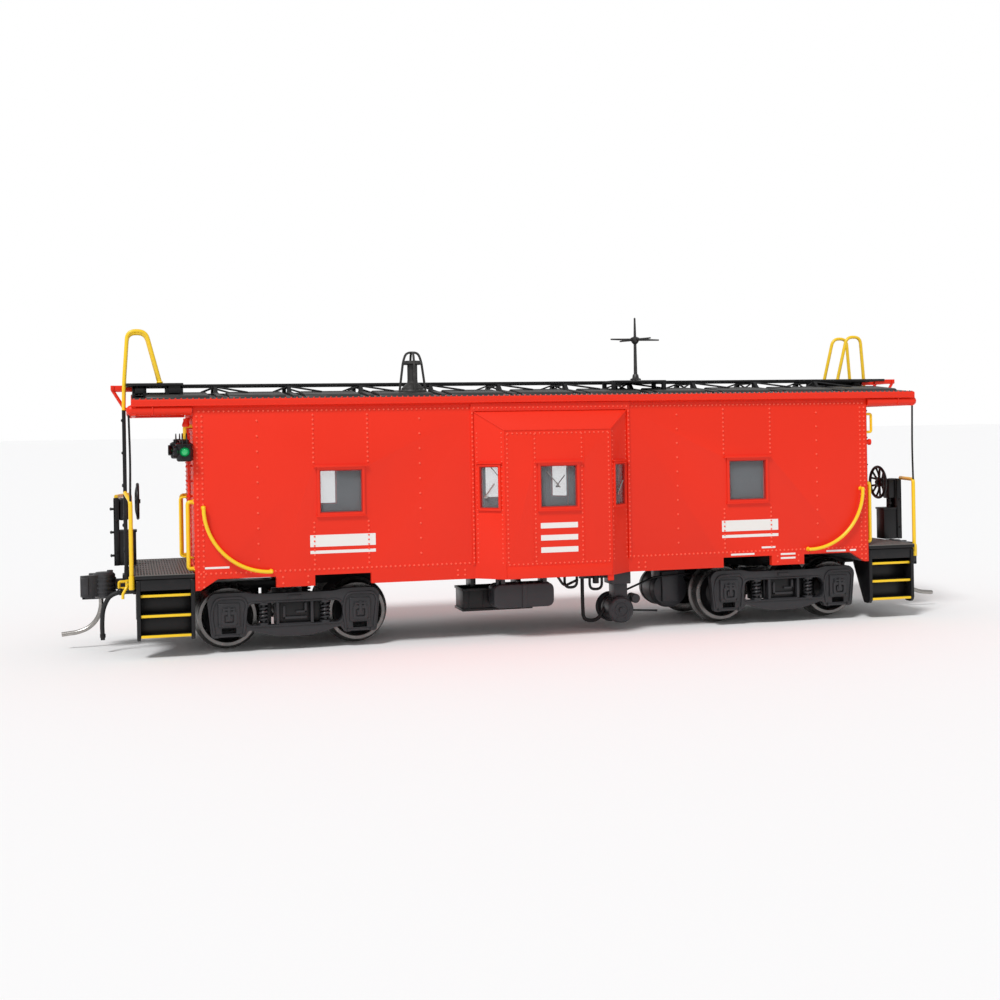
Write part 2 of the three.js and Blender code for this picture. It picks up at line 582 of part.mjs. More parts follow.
function underframe() {
  const L = INNER_HALF_LENGTH - GAP;
  const W = INNER_HALF_WIDTH - GAP;
  const plate = box([-L, L], [-W, W], [FLOOR_UNDER_Z, DECK_Z]);
  const sill = box([-TRUCK_X + 3, TRUCK_X - 3], [-CENTRE_SILL_HALF, CENTRE_SILL_HALF],
    [SILL_UNDER_Z, FLOOR_UNDER_Z + LAP]);
  const bearers = [-2, -1, 0, 1, 2].map((i) => i * BEARERS.pitch).map((x) => box(
    [x - BEARERS.half, x + BEARERS.half], [-W + 0.5, W - 0.5], [SILL_Z + GAP, FLOOR_UNDER_Z + LAP]));
  // The centre sill's ends pass under the body's end walls and hold the draft boxes.
  const draft = join(draftBox(), box([TRUCK_X + 1, DRAFT_X1 - DRAFT_LENGTH + 3 * LAP],
    [-CENTRE_SILL_HALF, CENTRE_SILL_HALF], [BOLSTER_PAD_Z, SILL_Z - GAP]));
  const bolsters = [-1, 1].map((side) => {
    const x = side * TRUCK_X;
    return join(
      box([x - BOLSTER_HALF, x + BOLSTER_HALF], [-W + 0.2, W - 0.2],
        [SILL_Z + 0.4, FLOOR_UNDER_Z + LAP]),
      turned([[0, BOLSTER_PAD_Z], [PAD_RADIUS, BOLSTER_PAD_Z], [PAD_RADIUS, SILL_Z + 1],
        [0, SILL_Z + 1]], [x, 0, 0], "z", 20),
    );
  });
  const holes = [-1, 1].map((side) => rod([side * TRUCK_X, 0, AXLE_Z],
    [side * TRUCK_X, 0, DECK_Z - 0.3], SCREW_RADIUS + 0.15, 16));
  return cut(join(plate, sill, bearers, bolsters, draft, turnedRound(draft)), holes);
}
place("underframe", underframe(), FRAME_BLACK);

// ---- Equipment under the floor -----------------------------------------------------------
const EQUIPMENT_TOP_Z = SILL_Z; // hangers reach up to the cross bearers

function roundedBox([x0, x1], [y0, y1], [z0, z1], radius) {
  const shape = new THREE.Shape();
  shape.moveTo(x0 + radius, z0);
  shape.absarc(x1 - radius, z0 + radius, radius, -Math.PI / 2, 0);
  shape.absarc(x1 - radius, z1 - radius, radius, 0, Math.PI / 2);
  shape.absarc(x0 + radius, z1 - radius, radius, Math.PI / 2, Math.PI);
  shape.absarc(x0 + radius, z0 + radius, radius, Math.PI, 1.5 * Math.PI);
  return prism("xz", shape, y0, y1);
}

const BATTERY = { x: [-14.3, -1.9], y: [-8.7, -2.7], z: [4.2, 8.1] };
const TANK = { x: [-9.9, 0.6], y: [-13.3, -9.2], z: [5, 9], round: 1.1 };
const GENERATOR = { x: 13.2, z: 3.5, radius: 2.3, pulley: 2.6 };
// The wheels' backs come in by this much at the truck's swivel limit.
const WHEEL_SWING = (WHEELBASE_HALF + FLANGE_RADIUS) * Math.sin(TRUCK_SWIVEL);
const RESERVOIR = {
  length: 7,
  y: [-(BACK_TO_BACK / 2 - WHEEL_SWING - TURN_GAP), 3.4],
  z: [2.6, SILL_UNDER_Z - 3 * GAP], // hung clear of the centre sill
  round: 2.4,
  fromAxle: 11.1,
  plate: 0.6, // thickness of the plate on its near end
};
const RESERVOIR_X0 = TRUCK_X - WHEELBASE_HALF - RESERVOIR.fromAxle; // its end away from the truck

function batteryBox() {
  const [x0, x1] = BATTERY.x;
  const hanger = (x) => box([x - 0.4, x + 0.4], [BATTERY.y[0] + 1.2, BATTERY.y[1] - 0.8],
    [BATTERY.z[1] - 0.2, EQUIPMENT_TOP_Z]);
  return join(box(BATTERY.x, BATTERY.y, BATTERY.z), hanger(x0 + 2.3), hanger(x1 - 2.1));
}
place("battery_box", batteryBox(), FRAME_BLACK);

function fuelTank() {
  const [x0, x1] = TANK.x;
  const [y0, y1] = TANK.y;
  const [z0, z1] = TANK.z;
  const strap = (x) => roundedBox([x - 0.35, x + 0.35], [y0 - 0.2, y1 + 0.1],
    [z0 - 0.1, z1 + 0.15], 0.3);
  const hanger = (x) => box([x - 0.35, x + 0.35], [y0 + 0.3, y1 - 0.4], [z1 - 0.1, EQUIPMENT_TOP_Z]);
  return join(roundedBox(TANK.x, TANK.y, TANK.z, TANK.round), strap((x0 + x1) / 2),
    hanger(x0 + 1.7), hanger(x1 - 1.5));
}
place("fuel_tank", fuelTank(), FRAME_BLACK);

// A drum with a pulley behind it, its bracket and belt wheel, and the lead that loops down to it.
function axleGenerator() {
  const { x, z, radius, pulley } = GENERATOR;
  const drum = turned([[0, -11.5], [radius - 0.25, -11.5], [radius, -11.2], [radius, -7],
    [0.8, -6.7], [0.8, -6.2], [pulley, -6.2], [pulley, -5.1], [0, -5.1]], [x, 0, z], "y", 20);
  const bracket = join(
    box([x - 0.9, x + 1.5], [-10.5, -7.5], [z + 1.6, 8.2]),
    box([x - 1.6, x + 2], [-10.9, -7.1], [7.9, EQUIPMENT_TOP_Z]),
    rod([x + 3.1, -10.3, 5.2], [x + 3.1, -7.7, 5.2], 0.8, 12),
    box([x + 1, x + 3.1], [-9.6, -8.4], [4.8, 5.6]),
  );
  const lead = curvedWire([[7.1, -8.6, EQUIPMENT_TOP_Z], [7.1, -8.6, 6.4], [7.2, -8.6, 3.4],
    [8.1, -8.6, 1.7], [9.8, -8.6, 1.7], [11.4, -8.6, 3.2]], 0.3, 20);
  const clamp = box([6.6, 12.4], [-9.1, -8.1], [8.9, EQUIPMENT_TOP_Z]);
  const belt = rod([x + 2.3, -5.6, 2.7], [x + 9, -5.6, 2.3], 0.2);
  return join(drum, bracket, lead, clamp, belt);
}
place("axle_generator", axleGenerator(), FRAME_BLACK);

function airReservoir() {
  const x0 = RESERVOIR_X0;
  const x1 = x0 + RESERVOIR.length;
  const [z0, z1] = RESERVOIR.z;
  const drum = roundedBox([x0, x1], RESERVOIR.y, RESERVOIR.z, RESERVOIR.round);
  const plate = box([x0 + 1.6, x0 + 4.6], [RESERVOIR.y[0] - RESERVOIR.plate, RESERVOIR.y[0] + 0.4],
    [z0 + 1.2, z1]);
  // The saddle passes beside the centre sill.
  const saddle = box([x0 + 0.4, x1 - 0.4], [RESERVOIR.y[0] + 0.5, -CENTRE_SILL_HALF - TURN_GAP],
    [z1 - 1, EQUIPMENT_TOP_Z]);
  return join(drum, plate, saddle);
}
place("air_reservoir", airReservoir(), FRAME_BLACK);

// ---- End platforms and steps -------------------------------------------------------------
const STEP_X0 = BODY_HALF_LENGTH + GAP;
const STEP_X1 = ROOF_HALF_LENGTH - 0.3;
const STEP_BACK = 6; // depth of a step unit across the car
const STRINGER = 0.6;
const LOW_TREAD_Z = 3.75;
const TREADS = [0, 1, 2].map((i) => LOW_TREAD_Z + i * (DECK_Z - LOW_TREAD_Z) / 3);
const TREAD_THICK = 0.4;
const TREAD_DEPTH = 2.2;
const RISER_GAP = 0.9; // open space over each riser but the top one
const STEP_FOOT_Z = LOW_TREAD_Z - 0.95;
const BEAM_HALF_WIDTH = BODY_HALF_WIDTH - 1.4;
const BEAM_THICK = 0.8;
const BEAM_NOTCH_TOP = 0.9; // of beam left over the draft box
const DECK_END_X = BEAM_X - BEAM_THICK; // the beam stands out from the deck here

function endPlatform() {
  const deck = box([STEP_X0, DECK_END_X], [-BODY_HALF_WIDTH, BODY_HALF_WIDTH],
    [PLATFORM_UNDER_Z, DECK_Z]);
  const beam = box([STEP_X1 + GAP, BEAM_X], [-BEAM_HALF_WIDTH, BEAM_HALF_WIDTH],
    [SILL_Z + GAP, DECK_Z]);
  const notch = box([BEAM_X - 2, BEAM_X + PAST], [-DRAFT_HALF_WIDTH - GAP, DRAFT_HALF_WIDTH + GAP],
    [SILL_Z - PAST, DECK_Z - BEAM_NOTCH_TOP]);
  return cut(join(deck, beam), notch);
}
place("end_platform_left", mirrorX(endPlatform()), FRAME_BLACK);
place("end_platform_right", endPlatform(), FRAME_BLACK);

// Two stringers, three treads and a riser behind each tread, for the near side of the right end.
function stepUnit() {
  const y0 = -BODY_HALF_WIDTH;
  const y1 = y0 + STEP_BACK;
  const top = PLATFORM_UNDER_Z - GAP;
  const side = [[y0, top], [y0, STEP_FOOT_Z + 0.6], [y0 + 0.5, STEP_FOOT_Z], [y0 + 2.2, STEP_FOOT_Z],
    [y1, top - 2.6], [y1, top]];
  const stringers = [prism("yz", side, STEP_X0, STEP_X0 + STRINGER),
    prism("yz", side, STEP_X1 - STRINGER, STEP_X1)];
  const across = [STEP_X0 + STRINGER / 2, STEP_X1 - STRINGER / 2];
  const treads = TREADS.map((z, i) => box(across, [y0 + LAP + 0.2 * i, y0 + TREAD_DEPTH + LAP + i],
    [z - TREAD_THICK, z]));
  const risers = TREADS.map((z, i) => {
    const high = i < TREADS.length - 1 ? TREADS[i + 1] - RISER_GAP : top;
    return box(across, [y0 + TREAD_DEPTH + LAP + i - 0.4, y0 + TREAD_DEPTH + LAP + i], [z - LAP, high]);
  });
  return join(stringers, treads, risers);
}
place("steps_right_near", stepUnit(), FRAME_BLACK);
place("steps_right_far", mirrorY(stepUnit()), FRAME_BLACK);
place("steps_left_near", mirrorX(stepUnit()), FRAME_BLACK);
place("steps_left_far", turnedRound(stepUnit()), FRAME_BLACK);

// ---- Railings, ladders and grab irons ----------------------------------------------------
// A corner post stands in the notch between the deck's end and the beam's end.
const RAIL_X = DECK_END_X + GAP + RAIL_WIRE;
const RAIL_POST_Y = BEAM_HALF_WIDTH + GAP + RAIL_WIRE;
const LADDER_RAIL = 0.35;
const LADDER_X = BEAM_X + GAP + LADDER_RAIL;
const LOOP_TOP_Z = WALKWAY_Z + 8.35;
const RUNG_RADIUS = 0.27;
const STAY = { radius: 0.22, bend: 5.2, lean: 0.1, rise: 0.8, clear: 0.35 };
const POST_FOOT = 0.6; // over the sill's level

// A corner post, the rod that steadies the roof above it, and the top rail in to what it meets.
function cornerRailing([innerX, innerY]) {
  const top = DECK_Z + RAILING_HEIGHT;
  const rail = bentRod([[RAIL_X, -RAIL_POST_Y, SILL_Z + POST_FOOT], [RAIL_X, -RAIL_POST_Y, top],
    [innerX, -innerY, top]], RAIL_WIRE);
  const stay = bentRod([[RAIL_X, -RAIL_POST_Y, top], [RAIL_X - STAY.lean, -RAIL_POST_Y, top + STAY.bend],
    [ROOF_HALF_LENGTH + GAP + STAY.clear, -RAIL_POST_Y, EAVE_UNDER_Z + STAY.rise]], STAY.radius);
  return join(rail, stay);
}
const STAND_HALF_WIDTH = 1.6;
const STAND_POST_OUT = 2; // from the beam's face to the brake column's middle
const ladderSide = [LADDER_X, LADDER_INNER_Y + LADDER_WIDTH + LADDER_RAIL + GAP + RAIL_WIRE];
const brakeSide = [BEAM_X + STAND_POST_OUT, BRAKE_STAND_Y + STAND_HALF_WIDTH + GAP + RAIL_WIRE];
place("railing_right_near", cornerRailing(brakeSide), SAFETY_YELLOW);
place("railing_right_far", mirrorY(cornerRailing(ladderSide)), SAFETY_YELLOW);
place("railing_left_near", mirrorX(cornerRailing(ladderSide)), SAFETY_YELLOW);
place("railing_left_far", turnedRound(cornerRailing(brakeSide)), SAFETY_YELLOW);

// The end ladder, with each rail carried up over the roof's end and down on to the landing.
function endLadder() {
  const z0 = DECK_Z - 0.6;
  const x = LADDER_X;
  const inward = ROOF_HALF_LENGTH - 4.5;
  const rail = (y) => join(
    rod([x, y, z0], [x, y, WALKWAY_Z - 2.4], LADDER_RAIL),
    curvedWire([[x, y, WALKWAY_Z - 2.6], [x + 0.1, y, WALKWAY_Z], [x - 0.5, y, WALKWAY_Z + 5],
      [x - 2.8, y, LOOP_TOP_Z], [x - 4.9, y, WALKWAY_Z + 5.5], [inward, y, WALKWAY_Z + GAP]],
    LADDER_RAIL, 12),
  );
  const topRung = EAVE_UNDER_Z - 0.6;
  const count = Math.floor((topRung - DECK_Z) / LADDER_PITCH) + 1;
  const rungs = Array.from({ length: count }, (_, i) => {
    const z = topRung - i * LADDER_PITCH;
    return rod([x, -LADDER_INNER_Y - LADDER_WIDTH, z], [x, -LADDER_INNER_Y, z], RUNG_RADIUS, 4);
  });
  return join(rail(-LADDER_INNER_Y), rail(-LADDER_INNER_Y - LADDER_WIDTH), rungs);
}
place("end_ladder_left", mirrorX(endLadder()), FRAME_BLACK);
place("end_ladder_right", mirrorY(endLadder()), FRAME_BLACK);

const GRAB_RADIUS = 10.4;
const GRAB_OUT = 0.85; // from the side sheet
const GRAB_FROM_END = 1.4;
const GRAB_RISE = 2.6; // of its foot over the sill
// The long grab iron that curves from the body's corner down to the sill.
function curvedGrab() {
  const y = -BODY_HALF_WIDTH - GRAB_OUT;
  const centre = [BODY_HALF_LENGTH - GRAB_RADIUS - GRAB_FROM_END, SILL_Z + GRAB_RADIUS + GRAB_RISE];
  const bend = arcPoints(8, (t) => [centre[0] + GRAB_RADIUS * Math.cos(t * Math.PI / 2), y,
    centre[1] - GRAB_RADIUS * Math.sin(t * Math.PI / 2)]);
  const ends = [bend[0], bend[bend.length - 1]].map(([x, , z]) => rod([x, y - WIRE, z],
    [x, -BODY_HALF_WIDTH - GAP, z], WIRE));
  return join(curvedWire(bend, WIRE, 10), ends);
}
place("curved_grab_right_near", curvedGrab(), SAFETY_YELLOW);
place("curved_grab_right_far", mirrorY(curvedGrab()), SAFETY_YELLOW);
place("curved_grab_left_near", mirrorX(curvedGrab()), SAFETY_YELLOW);
place("curved_grab_left_far", turnedRound(curvedGrab()), SAFETY_YELLOW);

const HANDRAIL = { out: 0.95, inset: 1.1, foot: 0.6, tall: 10.5 };
// The upright handrail on the end wall at each corner.
function cornerHandrail() {
  const x = BODY_HALF_LENGTH + HANDRAIL.out;
  const y = -BODY_HALF_WIDTH + HANDRAIL.inset;
  const wall = BODY_HALF_LENGTH + GAP;
  const low = DECK_Z + HANDRAIL.foot;
  const high = low + HANDRAIL.tall;
  return bentRod([[wall, y, high], [x, y, high], [x, y, low], [wall, y, low]], RAIL_WIRE);
}
place("corner_handrail_right_near", cornerHandrail(), SAFETY_YELLOW);
place("corner_handrail_right_far", mirrorY(cornerHandrail()), SAFETY_YELLOW);
place("corner_handrail_left_near", mirrorX(cornerHandrail()), SAFETY_YELLOW);
place("corner_handrail_left_far", turnedRound(cornerHandrail()), SAFETY_YELLOW);

// ---- Hand brakes -------------------------------------------------------------------------
const STAND_TALL = 11.4;
const STAND_THICK = 0.9;
const STAND_TOP_Z = DECK_Z + STAND_TALL;
const STAND_X = BEAM_X + 1.5; // the post's inner face, outside the beam
const GEAR_CASE = { deep: 1.5, half: 1.1, low: 3.8, high: 0.1 };
const CHAIN_BOX = { deep: 2.7, half: 1.4, tall: 5.9 };
const BRAKE_WHEEL_Z = STAND_TOP_Z - 0.7;
const BRAKE_WHEEL_X = BEAM_X - 1.2;
const BOSS_END_X = BEAM_X - 0.6;
const BOSS_RADIUS = 0.55;
const RIM_RADIUS = 0.27;
const RIM_SETBACK = 0.35; // of the wheel's rim from its hub
const SPOKE_RADIUS = 0.2;

// The post stands outside the beam, on a chain box that sits on the beam's top.
function brakeStand() {
  const y = -BRAKE_STAND_Y;
  const x = STAND_X;
  const foot = DECK_Z + GAP;
  const post = box([x, x + STAND_THICK], [y - STAND_HALF_WIDTH, y + STAND_HALF_WIDTH],
    [foot, STAND_TOP_Z]);
  const gearCase = box([x - GEAR_CASE.deep, x + LAP], [y - GEAR_CASE.half, y + GEAR_CASE.half],
    [STAND_TOP_Z - GEAR_CASE.low, STAND_TOP_Z - GEAR_CASE.high]);
  const chainBox = box([x - CHAIN_BOX.deep, x + LAP], [y - CHAIN_BOX.half, y + CHAIN_BOX.half],
    [foot, DECK_Z + CHAIN_BOX.tall]);
  const boss = rod([BOSS_END_X, y, BRAKE_WHEEL_Z], [x, y, BRAKE_WHEEL_Z], BOSS_RADIUS, 10);
  return join(post, gearCase, chainBox, boss);
}
place("brake_stand_right", brakeStand(), FRAME_BLACK);
place("brake_stand_left", turnedRound(brakeStand()), FRAME_BLACK);

function brakeWheel() {
  const far = BRAKE_WHEEL_RADIUS - 0.25;
  const rim = new THREE.TorusGeometry(far, RIM_RADIUS, 5, 18);
  rim.rotateY(Math.PI / 2);
  rim.translate(-RIM_SETBACK, 0, 0);
  const spokes = [0, 60, 120, 180, 240, 300].map((degrees) => {
    const angle = THREE.MathUtils.degToRad(degrees + 30);
    return rod([0, 0, 0], [-RIM_SETBACK, far * Math.cos(angle), far * Math.sin(angle)],
      SPOKE_RADIUS, 4);
  });
  const hub = rod([-RIM_SETBACK, 0, 0], [BOSS_END_X - GAP - BRAKE_WHEEL_X, 0, 0], BOSS_RADIUS, 10);
  return join(solid(rim), spokes, hub).translate([BRAKE_WHEEL_X, -BRAKE_STAND_Y, BRAKE_WHEEL_Z]);
}
place("brake_wheel_right", brakeWheel(), FRAME_BLACK);
place("brake_wheel_left", turnedRound(brakeWheel()), FRAME_BLACK);

// ---- Marker lamps ------------------------------------------------------------------------
const MARKER_Z = 32.2;
const MARKER_RADIUS = 1.25;
const LAMP_HOOD = { radius: 0.9, length: 1.7 };
const LAMP_STEM = { radius: 0.4, inset: 0.8, drop: 0.6 };
const LAMP_OUT = 0.2; // its middle outside the plane of the body's side
const BAIL_RADIUS = 0.12;

function markerLamp() {
  const [x, y, z] = [-BODY_HALF_LENGTH - MARKER_RADIUS - GAP, -BODY_HALF_WIDTH - LAMP_OUT, MARKER_Z];
  const bodyProfile = [[0, -1.5], [1.15, -1.5], [MARKER_RADIUS, -1.2], [MARKER_RADIUS, 1.1], [0.8, 1.6],
    [0.5, 1.9], [0, 1.9]];
  const lamp = turned(bodyProfile, [x, y, z], "z", 10);
  const hoods = [[-1, 0], [0, 1], [0, -1]].map(([dx, dy]) =>
    rod([x, y, z], [x + LAMP_HOOD.length * dx, y + LAMP_HOOD.length * dy, z], LAMP_HOOD.radius, 10));
  const stemY = -BODY_HALF_WIDTH + LAMP_STEM.inset;
  const stemZ = z - LAMP_STEM.drop;
  const stem = rod([-BODY_HALF_LENGTH - GAP, stemY, stemZ], [x, stemY, stemZ], LAMP_STEM.radius, 8);
  const bail = bentRod([[x, y - 1.15, z + 0.8], [x, y - 1, z + 2.5], [x, y, z + 3.1],
    [x, y + 1, z + 2.5], [x, y + 1.15, z + 0.8]], BAIL_RADIUS, 4);
  return join(lamp, hoods, stem, bail);
}
place("marker_lamp_near", markerLamp(), FRAME_BLACK);
place("marker_lamp_far", mirrorY(markerLamp()), FRAME_BLACK);

// ---- Couplers ----------------------------------------------------------------------------
const HEAD_HALF_HEIGHT = 1.75;
const LUG_THICK = 0.55;
const PIN_RADIUS = 0.4;
const PIN_FIT = 0.2;
const JAW_HALF_HEIGHT = 0.95;
const KNUCKLE_PIN_X = COUPLER_FACE_X - 1.75;
const KNUCKLE_PIN_Y = -1.5;
const TRIP_X = COUPLER_FACE_X - 3.1; // where the trip wire hangs from the knuckle's tail
const TRIP_Y = -1.4;
const TRIP_RADIUS = 0.4;
const TAIL = { y: [-1.75, -1.05], low: 2.5, high: 1.9 }; // below the coupler's middle
// The shank, head and guard arm. The knuckle sits in the notch on the -Y side of the head.
function couplerBody() {
  const z = COUPLER_Z;
  const hole = rod([COUPLER_PIVOT_X, 0, z - 3], [COUPLER_PIVOT_X, 0, z + 3],
    PIVOT_RADIUS + TURN_GAP, 14);
  const eye = rod([COUPLER_PIVOT_X, 0, z - SHANK_HALF_HEIGHT],
    [COUPLER_PIVOT_X, 0, z + SHANK_HALF_HEIGHT], PIVOT_RADIUS + TURN_GAP + 0.35, 16);
  const head = [[COUPLER_FACE_X - 5.2, -1.3], [COUPLER_FACE_X - 3.4, -2.4],
    [COUPLER_FACE_X - 2.9, -2.4], [COUPLER_FACE_X - 2.9, 0.5], [COUPLER_FACE_X - 1.4, 1.3],
    [COUPLER_FACE_X + 0.1, 2.1], [COUPLER_FACE_X - 0.2, 2.8], [COUPLER_FACE_X - 2.2, 2.5],
    [COUPLER_FACE_X - 4.4, 1.3]];
  const shank = box([COUPLER_PIVOT_X, COUPLER_FACE_X - 4], [-SHANK_HALF_WIDTH + 0.2,
    SHANK_HALF_WIDTH - 0.2], [z - SHANK_HALF_HEIGHT, z + SHANK_HALF_HEIGHT]);
  const low = z - HEAD_HALF_HEIGHT;
  const high = z + HEAD_HALF_HEIGHT;
  const lugs = [[low, low + LUG_THICK], [high - LUG_THICK, high]].map(([from, to]) => prism("xy",
    [[COUPLER_FACE_X - 3.2, -2.4], [COUPLER_FACE_X - 1.2, -2.4], [COUPLER_FACE_X - 1.2, -0.7],
      [COUPLER_FACE_X - 3.2, 0.4]], from, to));
  const pin = rod([KNUCKLE_PIN_X, KNUCKLE_PIN_Y, low + LUG_THICK / 2],
    [KNUCKLE_PIN_X, KNUCKLE_PIN_Y, high - LUG_THICK / 2], PIN_RADIUS, 10);
  return join(cut(join(shank, eye, prism("xy", head, low, high)), hole), lugs, pin);
}

// The knuckle turns on the head's pin and carries the curved trip wire under the head.
function knuckle() {
  const z = COUPLER_Z;
  const jaw = [[KNUCKLE_PIN_X - 0.75, -2.3], [KNUCKLE_PIN_X + 0.9, -2.4], [COUPLER_FACE_X, -1.9],
    [COUPLER_FACE_X, 0.1], [COUPLER_FACE_X - 0.5, 0.5], [COUPLER_FACE_X - 1, 0.3],
    [COUPLER_FACE_X - 1.1, -0.6], [KNUCKLE_PIN_X - 0.6, -0.65]];
  const hole = rod([KNUCKLE_PIN_X, KNUCKLE_PIN_Y, z - 3], [KNUCKLE_PIN_X, KNUCKLE_PIN_Y, z + 3],
    PIN_RADIUS + PIN_FIT, 12);
  const link = box([COUPLER_FACE_X - 0.75, COUPLER_FACE_X - LAP], TAIL.y, [z - TAIL.low, z]);
  const tail = box([TRIP_X - 0.5, COUPLER_FACE_X - LAP], TAIL.y, [z - TAIL.low, z - TAIL.high]);
  const trip = curvedWire([[TRIP_X, TRIP_Y, z - 2.2], [TRIP_X, TRIP_Y, z - 4],
    [TRIP_X + 0.7, TRIP_Y, z - 6.2], [TRIP_X + 2.8, TRIP_Y, z - 7.6],
    [COUPLER_FACE_X + 3.3, TRIP_Y, z - 8.15]], TRIP_RADIUS, 14);
  return join(cut(prism("xy", jaw, z - JAW_HALF_HEIGHT, z + JAW_HALF_HEIGHT), hole), link, tail, trip);
}

function couplerGroup(side, turn) {
  const group = new THREE.Group();
  car.add(group);
  place("coupler_" + side, turn(couplerBody()), STEEL, group);
  place("coupler_knuckle_" + side, turn(knuckle()), STEEL, group);
}
couplerGroup("right", (body) => body);
couplerGroup("left", turnedRound);

const LEVER = { wire: 0.25, rise: 0.9, inset: 1, drop: 1.9, loop: 1.3, loopDrop: 1.1 };
// The wire lever that lifts the coupler's lock, on the face of the end beam.
function uncouplingLever() {
  const { wire, loop, loopDrop } = LEVER;
  const x = BEAM_X + GAP + wire;
  const z = SILL_Z + LEVER.rise;
  const y = -DRAFT_HALF_WIDTH - 1.9;
  const end = BEAM_HALF_WIDTH - LEVER.inset;
  return join(
    rod([x, y, z], [x, -end, z], wire),
    bentRod([[x, -end + LAP, z], [x + 0.7, -end - LAP, z - 1.2],
      [x + 0.7, -end - LAP, z - LEVER.drop]], wire),
    bentRod([[x, y, z], [x + loop, y, z], [x + loop, y, z - loopDrop], [x, y, z - loopDrop],
      [x, y, z]], wire),
  );
}
place("uncoupling_lever_left", mirrorX(uncouplingLever()), SAFETY_YELLOW);
place("uncoupling_lever_right", mirrorY(uncouplingLever()), SAFETY_YELLOW);

const HOSE = { radius: 0.38, fromBox: 3, drop: 0.6, length: 8.3 };
const COCK = { radius: 0.45, ball: 0.6, out: 1.5, back: 2.5 };
// The air line's angle cock and rubber hose, beside the draft box.
function airHose() {
  const y = DRAFT_HALF_WIDTH + HOSE.fromBox;
  const z = SILL_Z - HOSE.drop;
  const x = BEAM_X + COCK.out;
  const cock = join(rod([BEAM_X - COCK.back, y, z], [x, y, z], COCK.radius, 8),
    ball([x, y, z], COCK.ball));
  const hose = curvedWire([[x, y, z], [x + 1.7, y, z - 0.6], [x + 2.7, y - 0.1, z - 2.6],
    [x + 2.9, y - 0.3, z - 5.2], [x + 2.8, y - 0.4, SILL_Z - HOSE.length]], HOSE.radius, 12);
  const hanger = box([BEAM_X - 1.1, BEAM_X - 0.5], [y - 0.3, y + 0.3], [z, SILL_Z]);
  return join(cock, hose, hanger);
}
place("air_hose_right", airHose(), FRAME_BLACK);
place("air_hose_left", turnedRound(airHose()), FRAME_BLACK);

// ---- Trucks ------------------------------------------------------------------------------
// A truck is placed from its centre, with Z measured from the line of its axles.
const WHEEL_SEGMENTS = 20;
const AXLE_HALF_LENGTH = FRAME_INNER_Y + FRAME_THICK - TURN_GAP;
const SCREW_HEAD_RADIUS = 1.9;
const SCREW_HEAD_Z = -0.54;
const SCREW_HEAD_THICK = 0.8;
const CHORD_TOP = 3.81; // of the side frame's upper chord in the middle, from the axles' line
const CHORD_LOW = -3.14; // of its lower chord in the middle
const FRAME_WINDOW = { z: 0.56, radius: 1.75, fromAxle: 4.6 };
const SPRING_RADIUS = 0.8;
const SPRING_SPAN = [-1.44, 2.56]; // up the opening, and of the ribs beside the springs

// Both wheels and their axle, turned as one profile about the axle's line.
function wheelset() {
  const back = BACK_TO_BACK / 2;
  const face = back + WHEEL_WIDTH;
  const half = [
    [AXLE_RADIUS, back - 0.6],
    [TREAD_RADIUS - 0.8, back],
    [FLANGE_RADIUS, back + 0.35],
    [TREAD_RADIUS + 0.1, back + FLANGE_WIDTH],
    [TREAD_RADIUS, face],
    [TREAD_RADIUS - 0.75, face],
    [TREAD_RADIUS - 0.95, face - 0.7],
    [1.4, face - 0.9],
    [JOURNAL_RADIUS, face],
    [JOURNAL_RADIUS, AXLE_HALF_LENGTH - 0.3],
    [0, AXLE_HALF_LENGTH],
  ];
  const other = half.map(([r, y]) => [r, -y]).reverse();
  return turned([...other, ...half], [0, 0, 0], "y", WHEEL_SEGMENTS);
}

// One side frame of a swing-motion truck, centred on the truck, with its face towards -Y.
function sideFrame() {
  const y0 = -FRAME_INNER_Y - FRAME_THICK;
  const y1 = -FRAME_INNER_Y;
  const b = WHEELBASE_HALF;
  const top = CHORD_TOP;
  const low = CHORD_LOW;
  const right = [[0, top], [b - 3, top + 0.05], [b - 1.6, top + 0.35], [b + 2.6, top + 0.35],
    [b + 3.4, top - 0.45], [b + 2.8, low + 0.2], [b - 2.6, low + 0.2], [b - 3.1, low + 1.3],
    [b - 5.2, low + 0.6], [b - 8, low]];
  const left = right.slice(1).map(([x, z]) => [-x, z]).reverse();
  const plate = prism("xz", [...right, ...left], y0, y1);
  const jaw = (x) => box([x - 1.5, x + 1.5], [y0 - PAST, y1 + PAST], [low + 0.6, low + 1.8]);
  const window = new THREE.Shape();
  const { z: windowZ, radius: windowRadius, fromAxle } = FRAME_WINDOW;
  window.absarc(b - fromAxle, windowZ, windowRadius, -Math.PI / 2, Math.PI / 2);
  window.absarc(-b + fromAxle, windowZ, windowRadius, Math.PI / 2, 1.5 * Math.PI);
  const opening = prism("xz", window, y0 - PAST, y1 + PAST);
  const journalBox = (x) => join(
    box([x - 1.75, x + 1.75], [-BOX_FACE_Y + 0.4, y0 + LAP], [-1.24, 2.66]),
    box([x - 1.2, x + 1.2], [-BOX_FACE_Y, y0 + LAP], [-0.54, 2.26]),
  );
  const [springLow, springHigh] = SPRING_SPAN;
  const springs = [-b / 2, b / 2].map((x) => rod([x, y0 + 0.6, springLow], [x, y0 + 0.6, springHigh],
    SPRING_RADIUS, 10));
  const ribs = [-2.8, 2.8].map((x) => box([x - 0.2, x + 0.2], [y0, y1 - 0.3], SPRING_SPAN));
  const sockets = [-b, b].map((x) => rod([x, y0 + LAP / 2, 0], [x, y1 + PAST, 0],
    JOURNAL_RADIUS + TURN_GAP, 14));
  const solidFrame = join(cut(plate, opening, jaw(-b), jaw(b)), journalBox(-b), journalBox(b),
    springs, ribs);
  return cut(solidFrame, sockets);
}

